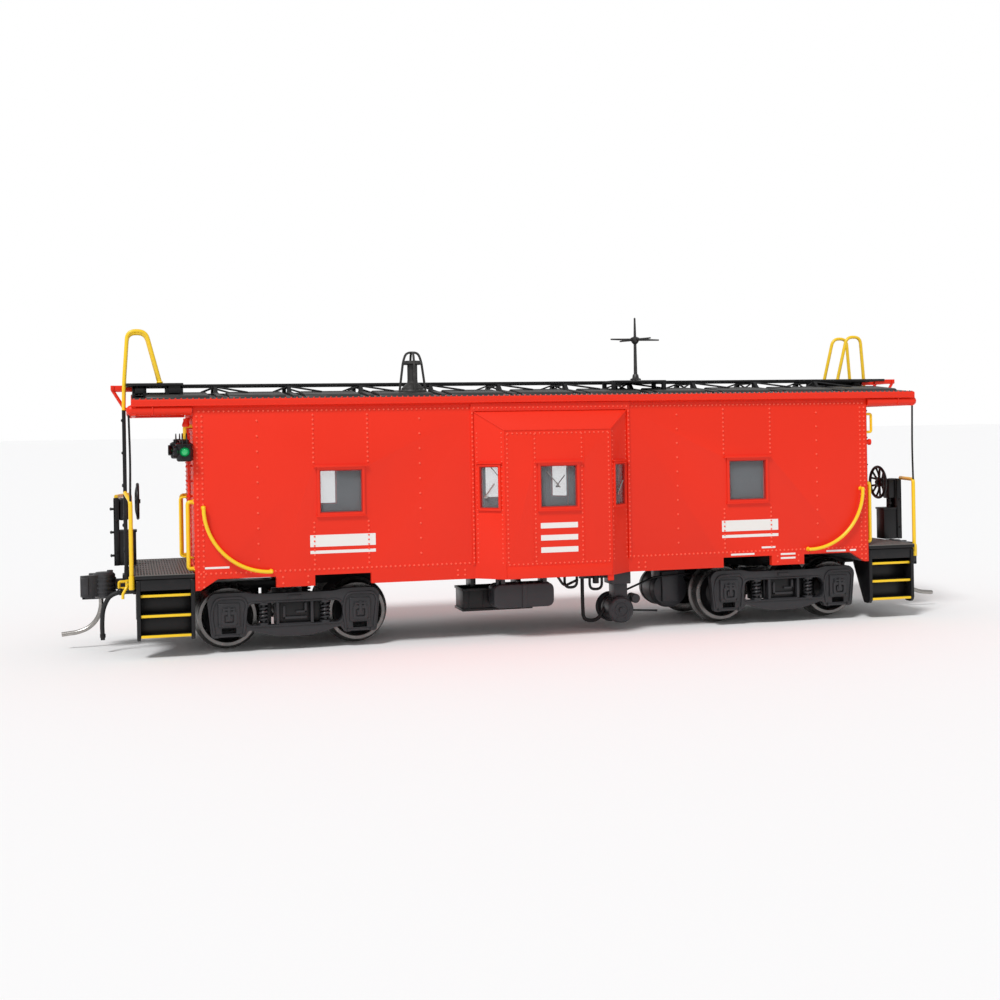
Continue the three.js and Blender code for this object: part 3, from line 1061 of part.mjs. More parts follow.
function truckBolster() {
  const inner = FRAME_INNER_Y - GAP;
  const top = BOLSTER_PAD_RISE - TURN_GAP;
  const beam = box([-2.3, 2.3], [-inner, inner], [-0.84, 2.16]);
  const plate = box([-3.2, 3.2], [-inner, -inner + 1.2], [-1.24, 2.36]);
  const centre = turned([[0, 2], [PAD_RADIUS, 2], [PAD_RADIUS, top], [0, top]], [0, 0, 0], "z", 20);
  const hole = rod([0, 0, -3], [0, 0, top + 1], SCREW_RADIUS + TURN_GAP, 16);
  const counterbore = rod([0, 0, -3], [0, 0, SCREW_HEAD_Z + SCREW_HEAD_THICK + TURN_GAP + 0.05],
    SCREW_HEAD_RADIUS + TURN_GAP, 16);
  return cut(join(beam, plate, mirrorY(plate), centre), hole, counterbore);
}

function truckScrew() {
  const under = SCREW_HEAD_Z + SCREW_HEAD_THICK;
  return join(rod([0, 0, SCREW_HEAD_Z], [0, 0, under], SCREW_HEAD_RADIUS, 16),
    rod([0, 0, under - 0.2], [0, 0, FLOOR_UNDER_Z - AXLE_Z], SCREW_RADIUS, 12));
}

function truck(side, x) {
  const group = new THREE.Group();
  group.position.set(x, 0, AXLE_Z);
  car.add(group);
  place("truck_bolster_" + side, truckBolster(), TRUCK_GREY, group);
  place("side_frame_" + side + "_near", sideFrame(), TRUCK_GREY, group);
  place("side_frame_" + side + "_far", mirrorY(sideFrame()), TRUCK_GREY, group);
  place("truck_screw_" + side, truckScrew(), STEEL, group);
  for (const [end, dx] of [["left", -WHEELBASE_HALF], ["right", WHEELBASE_HALF]]) {
    const wheels = new THREE.Group();
    wheels.position.x = dx;
    group.add(wheels);
    place("wheelset_" + side + "_" + end, wheelset(), WHEEL_METAL, wheels);
  }
}
truck("left", -TRUCK_X);
truck("right", TRUCK_X);

export default car;
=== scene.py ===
"""The looks of a 1:87 bay-window caboose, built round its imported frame.

Shapes are modelled in millimetres and scaled to metres when they are published as pieces.
X runs along the car, Y across it and Z up, as in the frame; the near side is the one at -Y.
"""

import logging
import math
from dataclasses import dataclass
from enum import Enum
from typing import Iterable, Sequence

import bmesh
import bpy
from mathutils import Matrix, Vector


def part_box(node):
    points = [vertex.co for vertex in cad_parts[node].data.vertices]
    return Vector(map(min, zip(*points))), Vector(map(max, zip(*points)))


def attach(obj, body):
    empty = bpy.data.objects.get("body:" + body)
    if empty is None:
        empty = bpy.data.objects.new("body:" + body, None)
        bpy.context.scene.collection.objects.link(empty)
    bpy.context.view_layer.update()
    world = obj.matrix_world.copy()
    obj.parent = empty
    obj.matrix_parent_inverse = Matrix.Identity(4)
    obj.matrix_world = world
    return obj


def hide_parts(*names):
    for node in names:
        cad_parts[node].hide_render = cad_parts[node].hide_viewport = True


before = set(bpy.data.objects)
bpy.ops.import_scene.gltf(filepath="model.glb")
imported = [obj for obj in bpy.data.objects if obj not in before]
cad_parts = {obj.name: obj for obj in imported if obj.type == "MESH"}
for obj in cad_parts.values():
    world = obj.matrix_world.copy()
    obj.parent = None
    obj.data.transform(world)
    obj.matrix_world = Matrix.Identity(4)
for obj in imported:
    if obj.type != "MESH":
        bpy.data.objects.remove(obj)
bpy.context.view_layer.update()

LOG = logging.getLogger("caboose")
MM = 0.001

Point = Sequence[float]
Colour = tuple[float, float, float]

MIRROR_X = Matrix.Scale(-1, 4, (1, 0, 0))
MIRROR_Y = Matrix.Scale(-1, 4, (0, 1, 0))
HALF_TURN = Matrix.Rotation(math.pi, 4, "Z")
AS_BUILT = Matrix.Identity(4)


class Plane(Enum):
    """The plane that an outline is drawn in."""

    XY = "xy"
    XZ = "xz"
    YZ = "yz"

    def point(self, u: float, v: float, w: float) -> Vector:
        """Returns the point at (u, v) in the plane and w along its normal."""
        if self is Plane.XY:
            return Vector((u, v, w))
        return Vector((u, w, v)) if self is Plane.XZ else Vector((w, u, v))


class Axis(Enum):
    """The line that a turned shape is round, as the turn that takes Z to it."""

    X = Matrix.Rotation(math.pi / 2, 4, "Y")
    Y = Matrix.Rotation(-math.pi / 2, 4, "X")
    Z = Matrix.Identity(4)


class Corner(Enum):
    """The four corners of the car, each with how a near right-hand shape reaches it."""

    RIGHT_NEAR = ("right_near", AS_BUILT)
    RIGHT_FAR = ("right_far", MIRROR_Y)
    LEFT_NEAR = ("left_near", MIRROR_X)
    LEFT_FAR = ("left_far", HALF_TURN)

    @property
    def label(self) -> str:
        """The corner's part of a node's name."""
        return self.value[0]

    @property
    def move(self) -> Matrix:
        """The matrix that carries a near right-hand shape here."""
        return self.value[1]


# ---- Shader maths ------------------------------------------------------------------------
class Value:
    """A number that varies over a surface, with the operators that shader maths needs."""

    def __init__(self, graph: "Graph", socket: bpy.types.NodeSocket) -> None:
        """Wraps a socket of a graph."""
        self.graph = graph
        self.socket = socket

    def _with(self, operation: str, first: object, second: object) -> "Value":
        """Adds one Math node and returns its result."""
        made = self.graph.node("ShaderNodeMath", {"operation": operation}, {0: first, 1: second})
        return Value(self.graph, made.outputs[0])

    def __add__(self, other: object) -> "Value":
        """Returns self + other."""
        return self._with("ADD", self, other)

    __radd__ = __add__

    def __mul__(self, other: object) -> "Value":
        """Returns self * other."""
        return self._with("MULTIPLY", self, other)

    __rmul__ = __mul__

    def __sub__(self, other: object) -> "Value":
        """Returns self - other."""
        return self._with("SUBTRACT", self, other)

    def __rsub__(self, other: object) -> "Value":
        """Returns other - self."""
        return self._with("SUBTRACT", other, self)

    def __pow__(self, other: object) -> "Value":
        """Returns self to the power of other."""
        return self._with("POWER", self, other)


class Graph:
    """The node tree of one material."""

    def __init__(self, name: str) -> None:
        """Makes a material with a Principled shader.

        Args:
            name: The material's name.
        """
        self.material = bpy.data.materials.new(name)
        self.material.use_nodes = True
        self.tree = self.material.node_tree
        self.shader = self.tree.nodes["Principled BSDF"]
        self.place = self.node("ShaderNodeTexCoord").outputs["Object"]

    def node(self, kind: str, settings: dict | None = None,
             inputs: dict | None = None) -> bpy.types.Node:
        """Adds a node.

        Args:
            kind: The node's type name.
            settings: Its settings, which are set before its sockets; "stops" fills a ramp.
            inputs: Values, sockets or Values for its sockets, by name or number.

        Returns:
            The new node.
        """
        made = self.tree.nodes.new(kind)
        for key, value in (settings or {}).items():
            if key == "stops":
                for element, (at, level) in zip(made.color_ramp.elements, value):
                    element.position = at
                    element.color = (level, level, level, 1)
            else:
                setattr(made, key, value)
        for key, value in (inputs or {}).items():
            self.feed(made.inputs[key], value)
        return made

    def feed(self, socket: bpy.types.NodeSocket, value: object) -> None:
        """Links a Value or a socket to a socket, or sets a constant on it."""
        if isinstance(value, Value):
            self.tree.links.new(value.socket, socket)
        elif isinstance(value, bpy.types.NodeSocket):
            self.tree.links.new(value, socket)
        else:
            socket.default_value = value

    def noise(self, size_mm: float, detail: float = 3.0) -> Value:
        """Returns noise from 0 to 1 whose lumps are about size_mm across."""
        made = self.node("ShaderNodeTexNoise", {"noise_dimensions": "3D"},
                         {"Vector": self.place, "Scale": 1 / (size_mm * MM), "Detail": detail})
        return Value(self, made.outputs["Fac"])

    def ramp(self, value: Value, stops: Sequence[tuple[float, float]]) -> Value:
        """Returns value sent through a ramp of two stops."""
        made = self.node("ShaderNodeValToRGB", {"stops": stops}, {"Fac": value})
        return Value(self, made.outputs["Color"])

    def blend(self, factor: Value, low: Colour, high: Colour) -> bpy.types.NodeSocket:
        """Returns a colour that runs from low to high as factor rises."""
        made = self.node("ShaderNodeMix", {"data_type": "RGBA"},
                         {0: factor, 6: (*low, 1), 7: (*high, 1)})
        return made.outputs[2]

    def bump(self, height: Value, depth_mm: float, strength: float) -> None:
        """Roughens the surface by a height of at most depth_mm."""
        made = self.node("ShaderNodeBump", None,
                         {"Strength": strength, "Distance": depth_mm * MM, "Height": height})
        self.feed(self.shader.inputs["Normal"], made.outputs["Normal"])


# ---- Finishes ----------------------------------------------------------------------------
@dataclass(frozen=True)
class Finish:
    """A painted or moulded plastic surface; other finishes build on it."""

    name: str
    slot: str
    colour: Colour
    roughness: float = 0.45
    drift: float = 0.05
    grain_mm: float = 0.12
    bump: float = 0.25
    coat: float = 0.0
    metallic: float = 0.0
    dust: float = 0.0
    gloss: float = 0.5

    def tint(self, share: float) -> Colour:
        """Returns the colour made lighter or darker by a share."""
        return tuple(min(1.0, channel * (1 + share)) for channel in self.colour)

    def dress(self, graph: Graph) -> None:
        """Wires the surface: drifting colour, uneven sheen, fine grain and a trace of dust.

        Args:
            graph: The material's graph.
        """
        broad = graph.noise(14, 2)
        fine = graph.noise(self.grain_mm, 2)
        spots = graph.ramp(graph.noise(1.3, 6), ((0.58, 0), (0.78, 1)))
        light = broad * 0.7 + fine * 0.3
        shaded = graph.blend(light, self.tint(-self.drift), self.tint(self.drift))
        if self.dust:
            dusty = graph.node("ShaderNodeMix", {"data_type": "RGBA"},
                               {0: spots * self.dust, 6: shaded, 7: (0.32, 0.3, 0.28, 1)})
            shaded = dusty.outputs[2]
        graph.feed(graph.shader.inputs["Base Color"], shaded)
        rough = self.roughness + (broad - 0.5) * 0.12 + (fine - 0.5) * 0.1 + spots * 0.06
        graph.feed(graph.shader.inputs["Roughness"], rough)
        graph.shader.inputs["Metallic"].default_value = self.metallic
        graph.shader.inputs["Specular IOR Level"].default_value = self.gloss
        graph.shader.inputs["Coat Weight"].default_value = self.coat
        graph.shader.inputs["Coat Roughness"].default_value = 0.25
        graph.bump(fine * 0.6 + graph.noise(0.5, 3) * 0.4, 0.012, self.bump)

    def material(self) -> bpy.types.Material:
        """Returns the finish's material, made on first use."""
        known = bpy.data.materials.get(self.name)
        if known:
            return known
        graph = Graph(self.name)
        self.dress(graph)
        return graph.material


@dataclass(frozen=True)
class TurnedMetal(Finish):
    """Bare or blackened metal with fine tool marks."""

    marks_mm: float = 0.06

    def dress(self, graph: Graph) -> None:
        """Wires the metal: patchy tone, tool marks and worn bright spots."""
        broad = graph.noise(2.5, 4)
        marks = graph.noise(self.marks_mm, 2)
        worn = graph.ramp(graph.noise(0.9, 5), ((0.5, 0), (0.7, 1)))
        graph.feed(graph.shader.inputs["Base Color"],
                   graph.blend(broad * 0.6 + worn * 0.4, self.tint(-0.25), self.tint(0.3)))
        graph.feed(graph.shader.inputs["Roughness"],
                   self.roughness + (marks - 0.5) * 0.2 - worn * 0.06)
        graph.shader.inputs["Metallic"].default_value = self.metallic
        graph.bump(marks, 0.01, self.bump)


@dataclass(frozen=True)
class ClearPane(Finish):
    """Thin clear plastic with a faint haze."""

    opacity: float = 0.22

    def dress(self, graph: Graph) -> None:
        """Wires the pane: clear, glossy, and a little smeared."""
        haze = graph.noise(3.0, 3)
        graph.feed(graph.shader.inputs["Base Color"],
                   graph.blend(haze, self.tint(-0.2), self.tint(0.1)))
        graph.feed(graph.shader.inputs["Roughness"], self.roughness + haze * 0.05)
        graph.shader.inputs["Alpha"].default_value = self.opacity
        graph.shader.inputs["Coat Weight"].default_value = 1.0
        graph.shader.inputs["Coat Roughness"].default_value = 0.03


@dataclass(frozen=True)
class JewelLens(Finish):
    """A moulded signal lens with a faint painted glow: the lens is not lit."""

    painted_glow: float = 0.5

    def dress(self, graph: Graph) -> None:
        """Wires the lens: deep colour, a gloss coat and a faint glow that is painted light."""
        depth = graph.noise(0.35, 2)
        colour = graph.blend(depth, self.tint(-0.35), self.tint(0.35))
        graph.feed(graph.shader.inputs["Base Color"], colour)
        # The lens's own colour is fed to emission: a painted glow, as the lens is not lit.
        graph.feed(graph.shader.inputs["Emission Color"], colour)
        graph.feed(graph.shader.inputs["Roughness"], self.roughness + depth * 0.05)
        graph.shader.inputs["Emission Strength"].default_value = self.painted_glow
        graph.shader.inputs["Coat Weight"].default_value = 1.0


@dataclass(frozen=True)
class Paints:
    """Every finish on the car."""

    body: Finish = Finish("red_enamel", "body_paint", (0.82, 0.026, 0.006), 0.42, 0.04, gloss=0.3)
    # The rivets' lighter red is a painted highlight, standing in for the glints on their domes.
    rivet_highlight: Finish = Finish("rivet_painted_highlight", "body_paint", (0.95, 0.12, 0.07), 0.35, 0.05, gloss=0.4)
    sash: Finish = Finish("sash_paint", "body_paint", (0.5, 0.012, 0.006), 0.42, 0.06)
    liner: Finish = Finish("cabin_plastic", "body_paint", (0.16, 0.16, 0.17), 0.6, 0.08)
    roof: Finish = Finish("roof_matt_black", "roof_black", (0.024, 0.023, 0.022), 0.4, 0.25, dust=0.12, gloss=0.5)
    grate: Finish = Finish("walkway_black", "roof_black", (0.011, 0.011, 0.012), 0.45, 0.2, gloss=0.3)
    black: Finish = Finish("frame_gloss_black", "frame_black", (0.007, 0.007, 0.008), 0.36, 0.2, dust=0.02,
                           gloss=0.35)
    deck: Finish = Finish("deck_grey", "frame_black", (0.12, 0.115, 0.108), 0.5, 0.2, dust=0.3)
    truck: Finish = Finish("truck_grey", "truck_plastic", (0.022, 0.022, 0.025), 0.33, 0.15,
                           grain_mm=0.2, bump=0.45, dust=0.03, gloss=0.45)
    tank: Finish = Finish("tank_grey", "frame_black", (0.035, 0.036, 0.041), 0.32, 0.15, dust=0.03,
                          gloss=0.4)
    yellow: Finish = Finish("yellow_enamel", "safety_yellow", (0.93, 0.6, 0.008), 0.34, 0.06, coat=0.2)
    white: Finish = Finish("marking_white", "body_paint", (0.82, 0.81, 0.78), 0.5, 0.03)
    rubber: Finish = Finish("moulded_rubber", "hose_rubber", (0.02, 0.02, 0.021), 0.55, 0.15, gloss=0.3)
    wheel: TurnedMetal = TurnedMetal("blackened_wheel", "wheel_metal", (0.09, 0.088, 0.086), 0.36,
                                     metallic=0.85, bump=0.3)
    tyre: TurnedMetal = TurnedMetal("wheel_rim", "wheel_metal", (0.2, 0.195, 0.19), 0.3,
                                    metallic=0.9, bump=0.25)
    iron: TurnedMetal = TurnedMetal("coupler_iron", "coupler_metal", (0.05, 0.05, 0.054), 0.42,
                                    metallic=0.45, bump=0.5)
    steel: TurnedMetal = TurnedMetal("bright_steel", "steel", (0.42, 0.4, 0.38), 0.3,
                                     metallic=1.0, bump=0.2)
    glass: ClearPane = ClearPane("window_clear", "clear_plastic", (0.6, 0.66, 0.7), 0.03, opacity=0.14)
    # The green lens carries a faint painted glow.
    green: JewelLens = JewelLens("green_lens", "frame_black", (0.005, 0.33, 0.09), 0.08)


PAINT = Paints()


# ---- Shapes ------------------------------------------------------------------------------
def eased(points: Sequence[Point], radius: float, steps: int = 4,
          closed: bool = False) -> list[Vector]:
    """Rounds the corners of a path.

    Args:
        points: The path's corners, in the plane or in space.
        radius: How far from each corner the rounding starts.
        steps: Straight steps in each rounded corner.
        closed: True if the last point joins the first.

    Returns:
        The points of the rounded path.
    """
    places = [Vector(point) for point in points]
    count = len(places)
    out: list[Vector] = []
    for i, corner in enumerate(places):
        if not closed and i in (0, count - 1):
            out.append(corner)
            continue
        before = places[i - 1] - corner
        after = places[(i + 1) % count] - corner
        reach = min(radius, before.length * 0.45, after.length * 0.45)
        start = corner + before.normalized() * reach
        end = corner + after.normalized() * reach
        for step in range(steps + 1):
            t = step / steps
            out.append(start * (1 - t) ** 2 + corner * 2 * t * (1 - t) + end * t * t)
    return out


def spread(start: float, end: float, pitch: float) -> list[float]:
    """Returns places from start to end, evenly spaced at about pitch."""
    count = max(1, round(abs(end - start) / pitch))
    return [start + (end - start) * i / count for i in range(count + 1)]


class Shape:
    """A mesh in the making, in millimetres. Its paint is the finish that new faces take."""

    def __init__(self) -> None:
        """Starts empty."""
        self.bm = bmesh.new()
        self.paint = 0

    @classmethod
    def from_node(cls, name: str, bevel: float = 0.08, segments: int = 2) -> "Shape":
        """Copies a CAD node, merges its flat faces and rounds its sharp edges.

        Args:
            name: The node.
            bevel: Width of the rounding, or 0 for none.
            segments: Steps across the rounding.

        Returns:
            The shape.
        """
        shape = cls()
        bm = shape.bm
        bm.from_mesh(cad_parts[name].data)
        bmesh.ops.scale(bm, vec=(1 / MM,) * 3, verts=bm.verts)
        bmesh.ops.remove_doubles(bm, verts=bm.verts, dist=0.002)
        bmesh.ops.dissolve_limit(bm, angle_limit=math.radians(1), verts=bm.verts, edges=bm.edges)
        if bevel:
            shape._bevel(bm, bevel, segments, 25)
        return shape

    @staticmethod
    def _bevel(bm: bmesh.types.BMesh, width: float, segments: int, angle: float = 20) -> None:
        """Rounds the edges of a mesh that turn by more than an angle in degrees."""
        limit = math.radians(angle)
        edges = [edge for edge in bm.edges if edge.is_manifold and edge.calc_face_angle() > limit]
        bmesh.ops.bevel(bm, geom=edges, offset=width, offset_type="OFFSET", segments=segments,
                        profile=0.5, affect="EDGES", clamp_overlap=True, material=-1)

    def _take(self, part: bmesh.types.BMesh) -> "Shape":
        """Adds a finished part to the shape, in the shape's paint."""
        for face in part.faces:
            face.material_index = self.paint
        mesh = bpy.data.meshes.new("part")
        part.to_mesh(mesh)
        part.free()
        self.bm.from_mesh(mesh)
        bpy.data.meshes.remove(mesh)
        return self

    def in_paint(self, index: int) -> "Shape":
        """Sets which of the piece's finishes new faces take."""
        self.paint = index
        return self

    def add(self, other: "Shape", move: Matrix = AS_BUILT) -> "Shape":
        """Adds a copy of another shape, moved by a matrix, in its own paints."""
        moved = other.moved(move)
        mesh = bpy.data.meshes.new("part")
        moved.bm.to_mesh(mesh)
        moved.bm.free()
        self.bm.from_mesh(mesh)
        bpy.data.meshes.remove(mesh)
        return self

    def moved(self, move: Matrix) -> "Shape":
        """Returns a copy moved by a matrix, with its faces still pointing out."""
        copy = Shape()
        copy.bm.free()
        copy.bm = self.bm.copy()
        bmesh.ops.transform(copy.bm, matrix=move, verts=copy.bm.verts)
        if move.determinant() < 0:
            bmesh.ops.reverse_faces(copy.bm, faces=copy.bm.faces)
        return copy

    def box(self, low: Point, high: Point, bevel: float = 0.08, segments: int = 2) -> "Shape":
        """Adds a box between two corners, with rounded edges."""
        part = bmesh.new()
        size = Vector(high) - Vector(low)
        middle = (Vector(high) + Vector(low)) / 2
        bmesh.ops.create_cube(part, size=1, matrix=Matrix.LocRotScale(middle, None, size))
        if bevel:
            self._bevel(part, min(bevel, min(size) * 0.3), segments)
        return self._take(part)

    def plate(self, outline: Sequence[Point], plane: Plane, start: float, end: float,
              bevel: float = 0.08, holes: Sequence[Sequence[Point]] = (),
              segments: int = 2) -> "Shape":
        """Adds a flat outline drawn out along its plane's normal.

        Args:
            outline: Corners in the plane.
            plane: The plane.
            start: Where the plate starts along the normal.
            end: Where it ends.
            bevel: Width of the rounding.
            holes: Outlines of the openings in it.
            segments: Steps across the rounding.

        Returns:
            The shape itself.
        """
        part = bmesh.new()
        edges = []
        for loop in (outline, *holes):
            verts = [part.verts.new(plane.point(u, v, start)) for u, v in loop]
            edges += [part.edges.new((verts[i - 1], verts[i])) for i in range(len(verts))]
        if holes:
            bmesh.ops.triangle_fill(part, edges=edges, use_beauty=True, use_dissolve=False)
        else:
            bmesh.ops.contextual_create(part, geom=part.edges)
        drawn = bmesh.ops.extrude_face_region(part, geom=part.faces)
        ends = [item for item in drawn["geom"] if isinstance(item, bmesh.types.BMVert)]
        bmesh.ops.translate(part, vec=plane.point(0, 0, end - start), verts=ends)
        bmesh.ops.recalc_face_normals(part, faces=part.faces)
        if bevel:
            self._bevel(part, bevel, segments)
        return self._take(part)

    def rod(self, start: Point, end: Point, radius: float, sides: int = 16,
            end_radius: float | None = None, bevel: float = 0.0) -> "Shape":
        """Adds a round bar or cone from one point to another."""
        part = bmesh.new()
        along = Vector(end) - Vector(start)
        move = Matrix.Translation((Vector(start) + Vector(end)) / 2)
        move = move @ along.to_track_quat("Z", "Y").to_matrix().to_4x4()
        bmesh.ops.create_cone(part, cap_ends=True, segments=sides, radius1=radius,
                              radius2=radius if end_radius is None else end_radius,
                              depth=along.length, matrix=move)
        if bevel:
            self._bevel(part, bevel, 2, 50)
        return self._take(part)

    def ball(self, centre: Point, radius: float, squash: float = 1.0) -> "Shape":
        """Adds a ball, flattened in Z if squash is under 1."""
        part = bmesh.new()
        size = Matrix.LocRotScale(Vector(centre), None, Vector((1, 1, squash)))
        bmesh.ops.create_uvsphere(part, u_segments=16, v_segments=10, radius=radius, matrix=size)
        return self._take(part)

    def turned(self, profile: Sequence[Point], centre: Point, axis: Axis, steps: int = 48,
               closed: bool = False) -> "Shape":
        """Adds a profile turned about an axis.

        Args:
            profile: Pairs of radius and place along the axis.
            centre: The point that the axis passes through, where the place is 0.
            axis: The direction of the axis.
            steps: Flats round the shape.
            closed: True for a ring, whose profile's last point joins its first.

        Returns:
            The shape itself.
        """
        part = bmesh.new()
        verts = [part.verts.new((radius, 0, place)) for radius, place in profile]
        edges = [part.edges.new(pair) for pair in zip(verts, verts[1:])]
        if closed:
            edges.append(part.edges.new((verts[-1], verts[0])))
        bmesh.ops.spin(part, geom=verts + edges, cent=(0, 0, 0), axis=(0, 0, 1),
                       angle=2 * math.pi, steps=steps, use_merge=True)
        bmesh.ops.remove_doubles(part, verts=part.verts, dist=0.0005)
        bmesh.ops.recalc_face_normals(part, faces=part.faces)
        bmesh.ops.transform(part, matrix=Matrix.Translation(Vector(centre)) @ axis.value,
                            verts=part.verts)
        return self._take(part)

    def ring(self, centre: Point, axis: Axis, radius: float, thick: float,
             steps: int = 48, sides: int = 10) -> "Shape":
        """Adds a round ring of round section."""
        turns = [2 * math.pi * i / sides for i in range(sides)]
        section = [(radius + thick * math.cos(a), thick * math.sin(a)) for a in turns]
        return self.turned(section, centre, axis, steps, closed=True)

    def wire(self, points: Sequence[Point], radius: float, bend: float = 0.0,
             closed: bool = False, sides: int = 10) -> "Shape":
        """Adds a round wire along a path.

        Args:
            points: The path's corners.
            radius: The wire's radius.
            bend: How far from each corner its rounding starts.
            closed: True for a loop.
            sides: Flats round the wire.

        Returns:
            The shape itself.
        """
        path = eased(points, bend, 6, closed) if bend else [Vector(p) for p in points]
        curve = bpy.data.curves.new("wire", "CURVE")
        curve.dimensions = "3D"
        curve.bevel_depth = radius
        curve.bevel_resolution = (sides - 4) // 2
        curve.use_fill_caps = not closed
        spline = curve.splines.new("POLY")
        spline.points.add(len(path) - 1)
        for knot, place in zip(spline.points, path):
            knot.co = (*place, 1)
        spline.use_cyclic_u = closed
        holder = bpy.data.objects.new("wire", curve)
        mesh = bpy.data.meshes.new_from_object(holder)
        bpy.data.objects.remove(holder)
        bpy.data.curves.remove(curve)
        part = bmesh.new()
        part.from_mesh(mesh)
        bpy.data.meshes.remove(mesh)
        bmesh.ops.remove_doubles(part, verts=part.verts, dist=0.0005)
        bmesh.ops.recalc_face_normals(part, faces=part.faces)
        return self._take(part)

    def rivets(self, places: Iterable[Point], facing: Point, radius: float = 0.2) -> "Shape":
        """Adds small domes with six sides on a flat surface.

        Args:
            places: Points on the surface.
            facing: The way the surface faces.
            radius: A dome's radius.

        Returns:
            The shape itself.
        """
        turn = Vector(facing).to_track_quat("Z", "Y").to_matrix().to_4x4()
        height = radius * 0.8
        part = bmesh.new()
        for place in places:
            move = Matrix.Translation(Vector(place) + Vector(facing).normalized() * height * 0.4)
            bmesh.ops.create_cone(part, cap_ends=True, segments=6, radius1=radius,
                                  radius2=radius * 0.5, depth=height, matrix=move @ turn)
        return self._take(part)

    def publish(self, name: str, body: str, *finishes: Finish, replaces: Sequence[str] = (),
                smooth: float = 32.0) -> bpy.types.Object:
        """Makes the shape one piece of the model, in metres.

        Args:
            name: The piece's name.
            body: The CAD body that it rides on.
            *finishes: Its finishes, in the order of its paints.
            replaces: CAD nodes that it stands for.
            smooth: Edges that turn by less than this many degrees are shaded smooth.

        Returns:
            The piece.
        """
        bmesh.ops.scale(self.bm, vec=(MM,) * 3, verts=self.bm.verts)
        mesh = bpy.data.meshes.new(name)
        self.bm.to_mesh(mesh)
        self.bm.free()
        for finish in finishes:
            mesh.materials.append(finish.material())
        mesh.polygons.foreach_set("use_smooth", [True] * len(mesh.polygons))
        mesh.set_sharp_from_angle(angle=math.radians(smooth))
        piece = bpy.data.objects.new(name, mesh)
        bpy.context.scene.collection.objects.link(piece)
        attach(piece, body)
        if replaces:
            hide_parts(*replaces)
        LOG.info("%s: %d faces on %s", name, len(mesh.polygons), body)
        return piece


# ---- Places read from the frame ----------------------------------------------------------
def node_box(name: str) -> tuple[Vector, Vector]:
    """Returns a CAD node's lowest and highest corners in millimetres."""
    low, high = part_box(name)
    return low / MM, high / MM


def node_middle(name: str) -> Vector:
    """Returns the middle of a CAD node's box in millimetres."""
    low, high = node_box(name)
    return (low + high) / 2


@dataclass(frozen=True)
class Layout:
    """The car's main planes, in millimetres."""

    end: float  # of the body
    side: float  # of the body's walls
    sill: float
    deck: float
    deck_end: float
    beam: float  # outer face of the end beams
    eave_low: float
    eave_top: float
    ridge: float
    roof_end: float
    roof_side: float
    walk_top: float
    bay_front: float

    @classmethod
    def read(cls) -> "Layout":
        """Reads the planes from the frame's boxes."""
        platform_low, platform_high = node_box("end_platform_right")
        roof_low, roof_high = node_box("roof")
        body_low, _ = node_box("body_shell")
        _, walk_high = node_box("roof_walkway")
        return cls(end=platform_low.x - 0.1, side=platform_high.y, sill=body_low.z,
                   deck=platform_high.z, deck_end=platform_high.x - 0.8, beam=platform_high.x,
                   eave_low=roof_low.z,
                   eave_top=roof_low.z + 2.55, ridge=roof_high.z - 0.45, roof_end=roof_high.x,
                   roof_side=roof_high.y, walk_top=walk_high.z, bay_front=-body_low.y - 0.6)


CAR = Layout.read()


def roof_level(y: float) -> float:
    """Returns the height of the roof's top at a place across the car."""
    return CAR.ridge - (CAR.ridge - CAR.eave_top) * abs(y) / CAR.roof_side


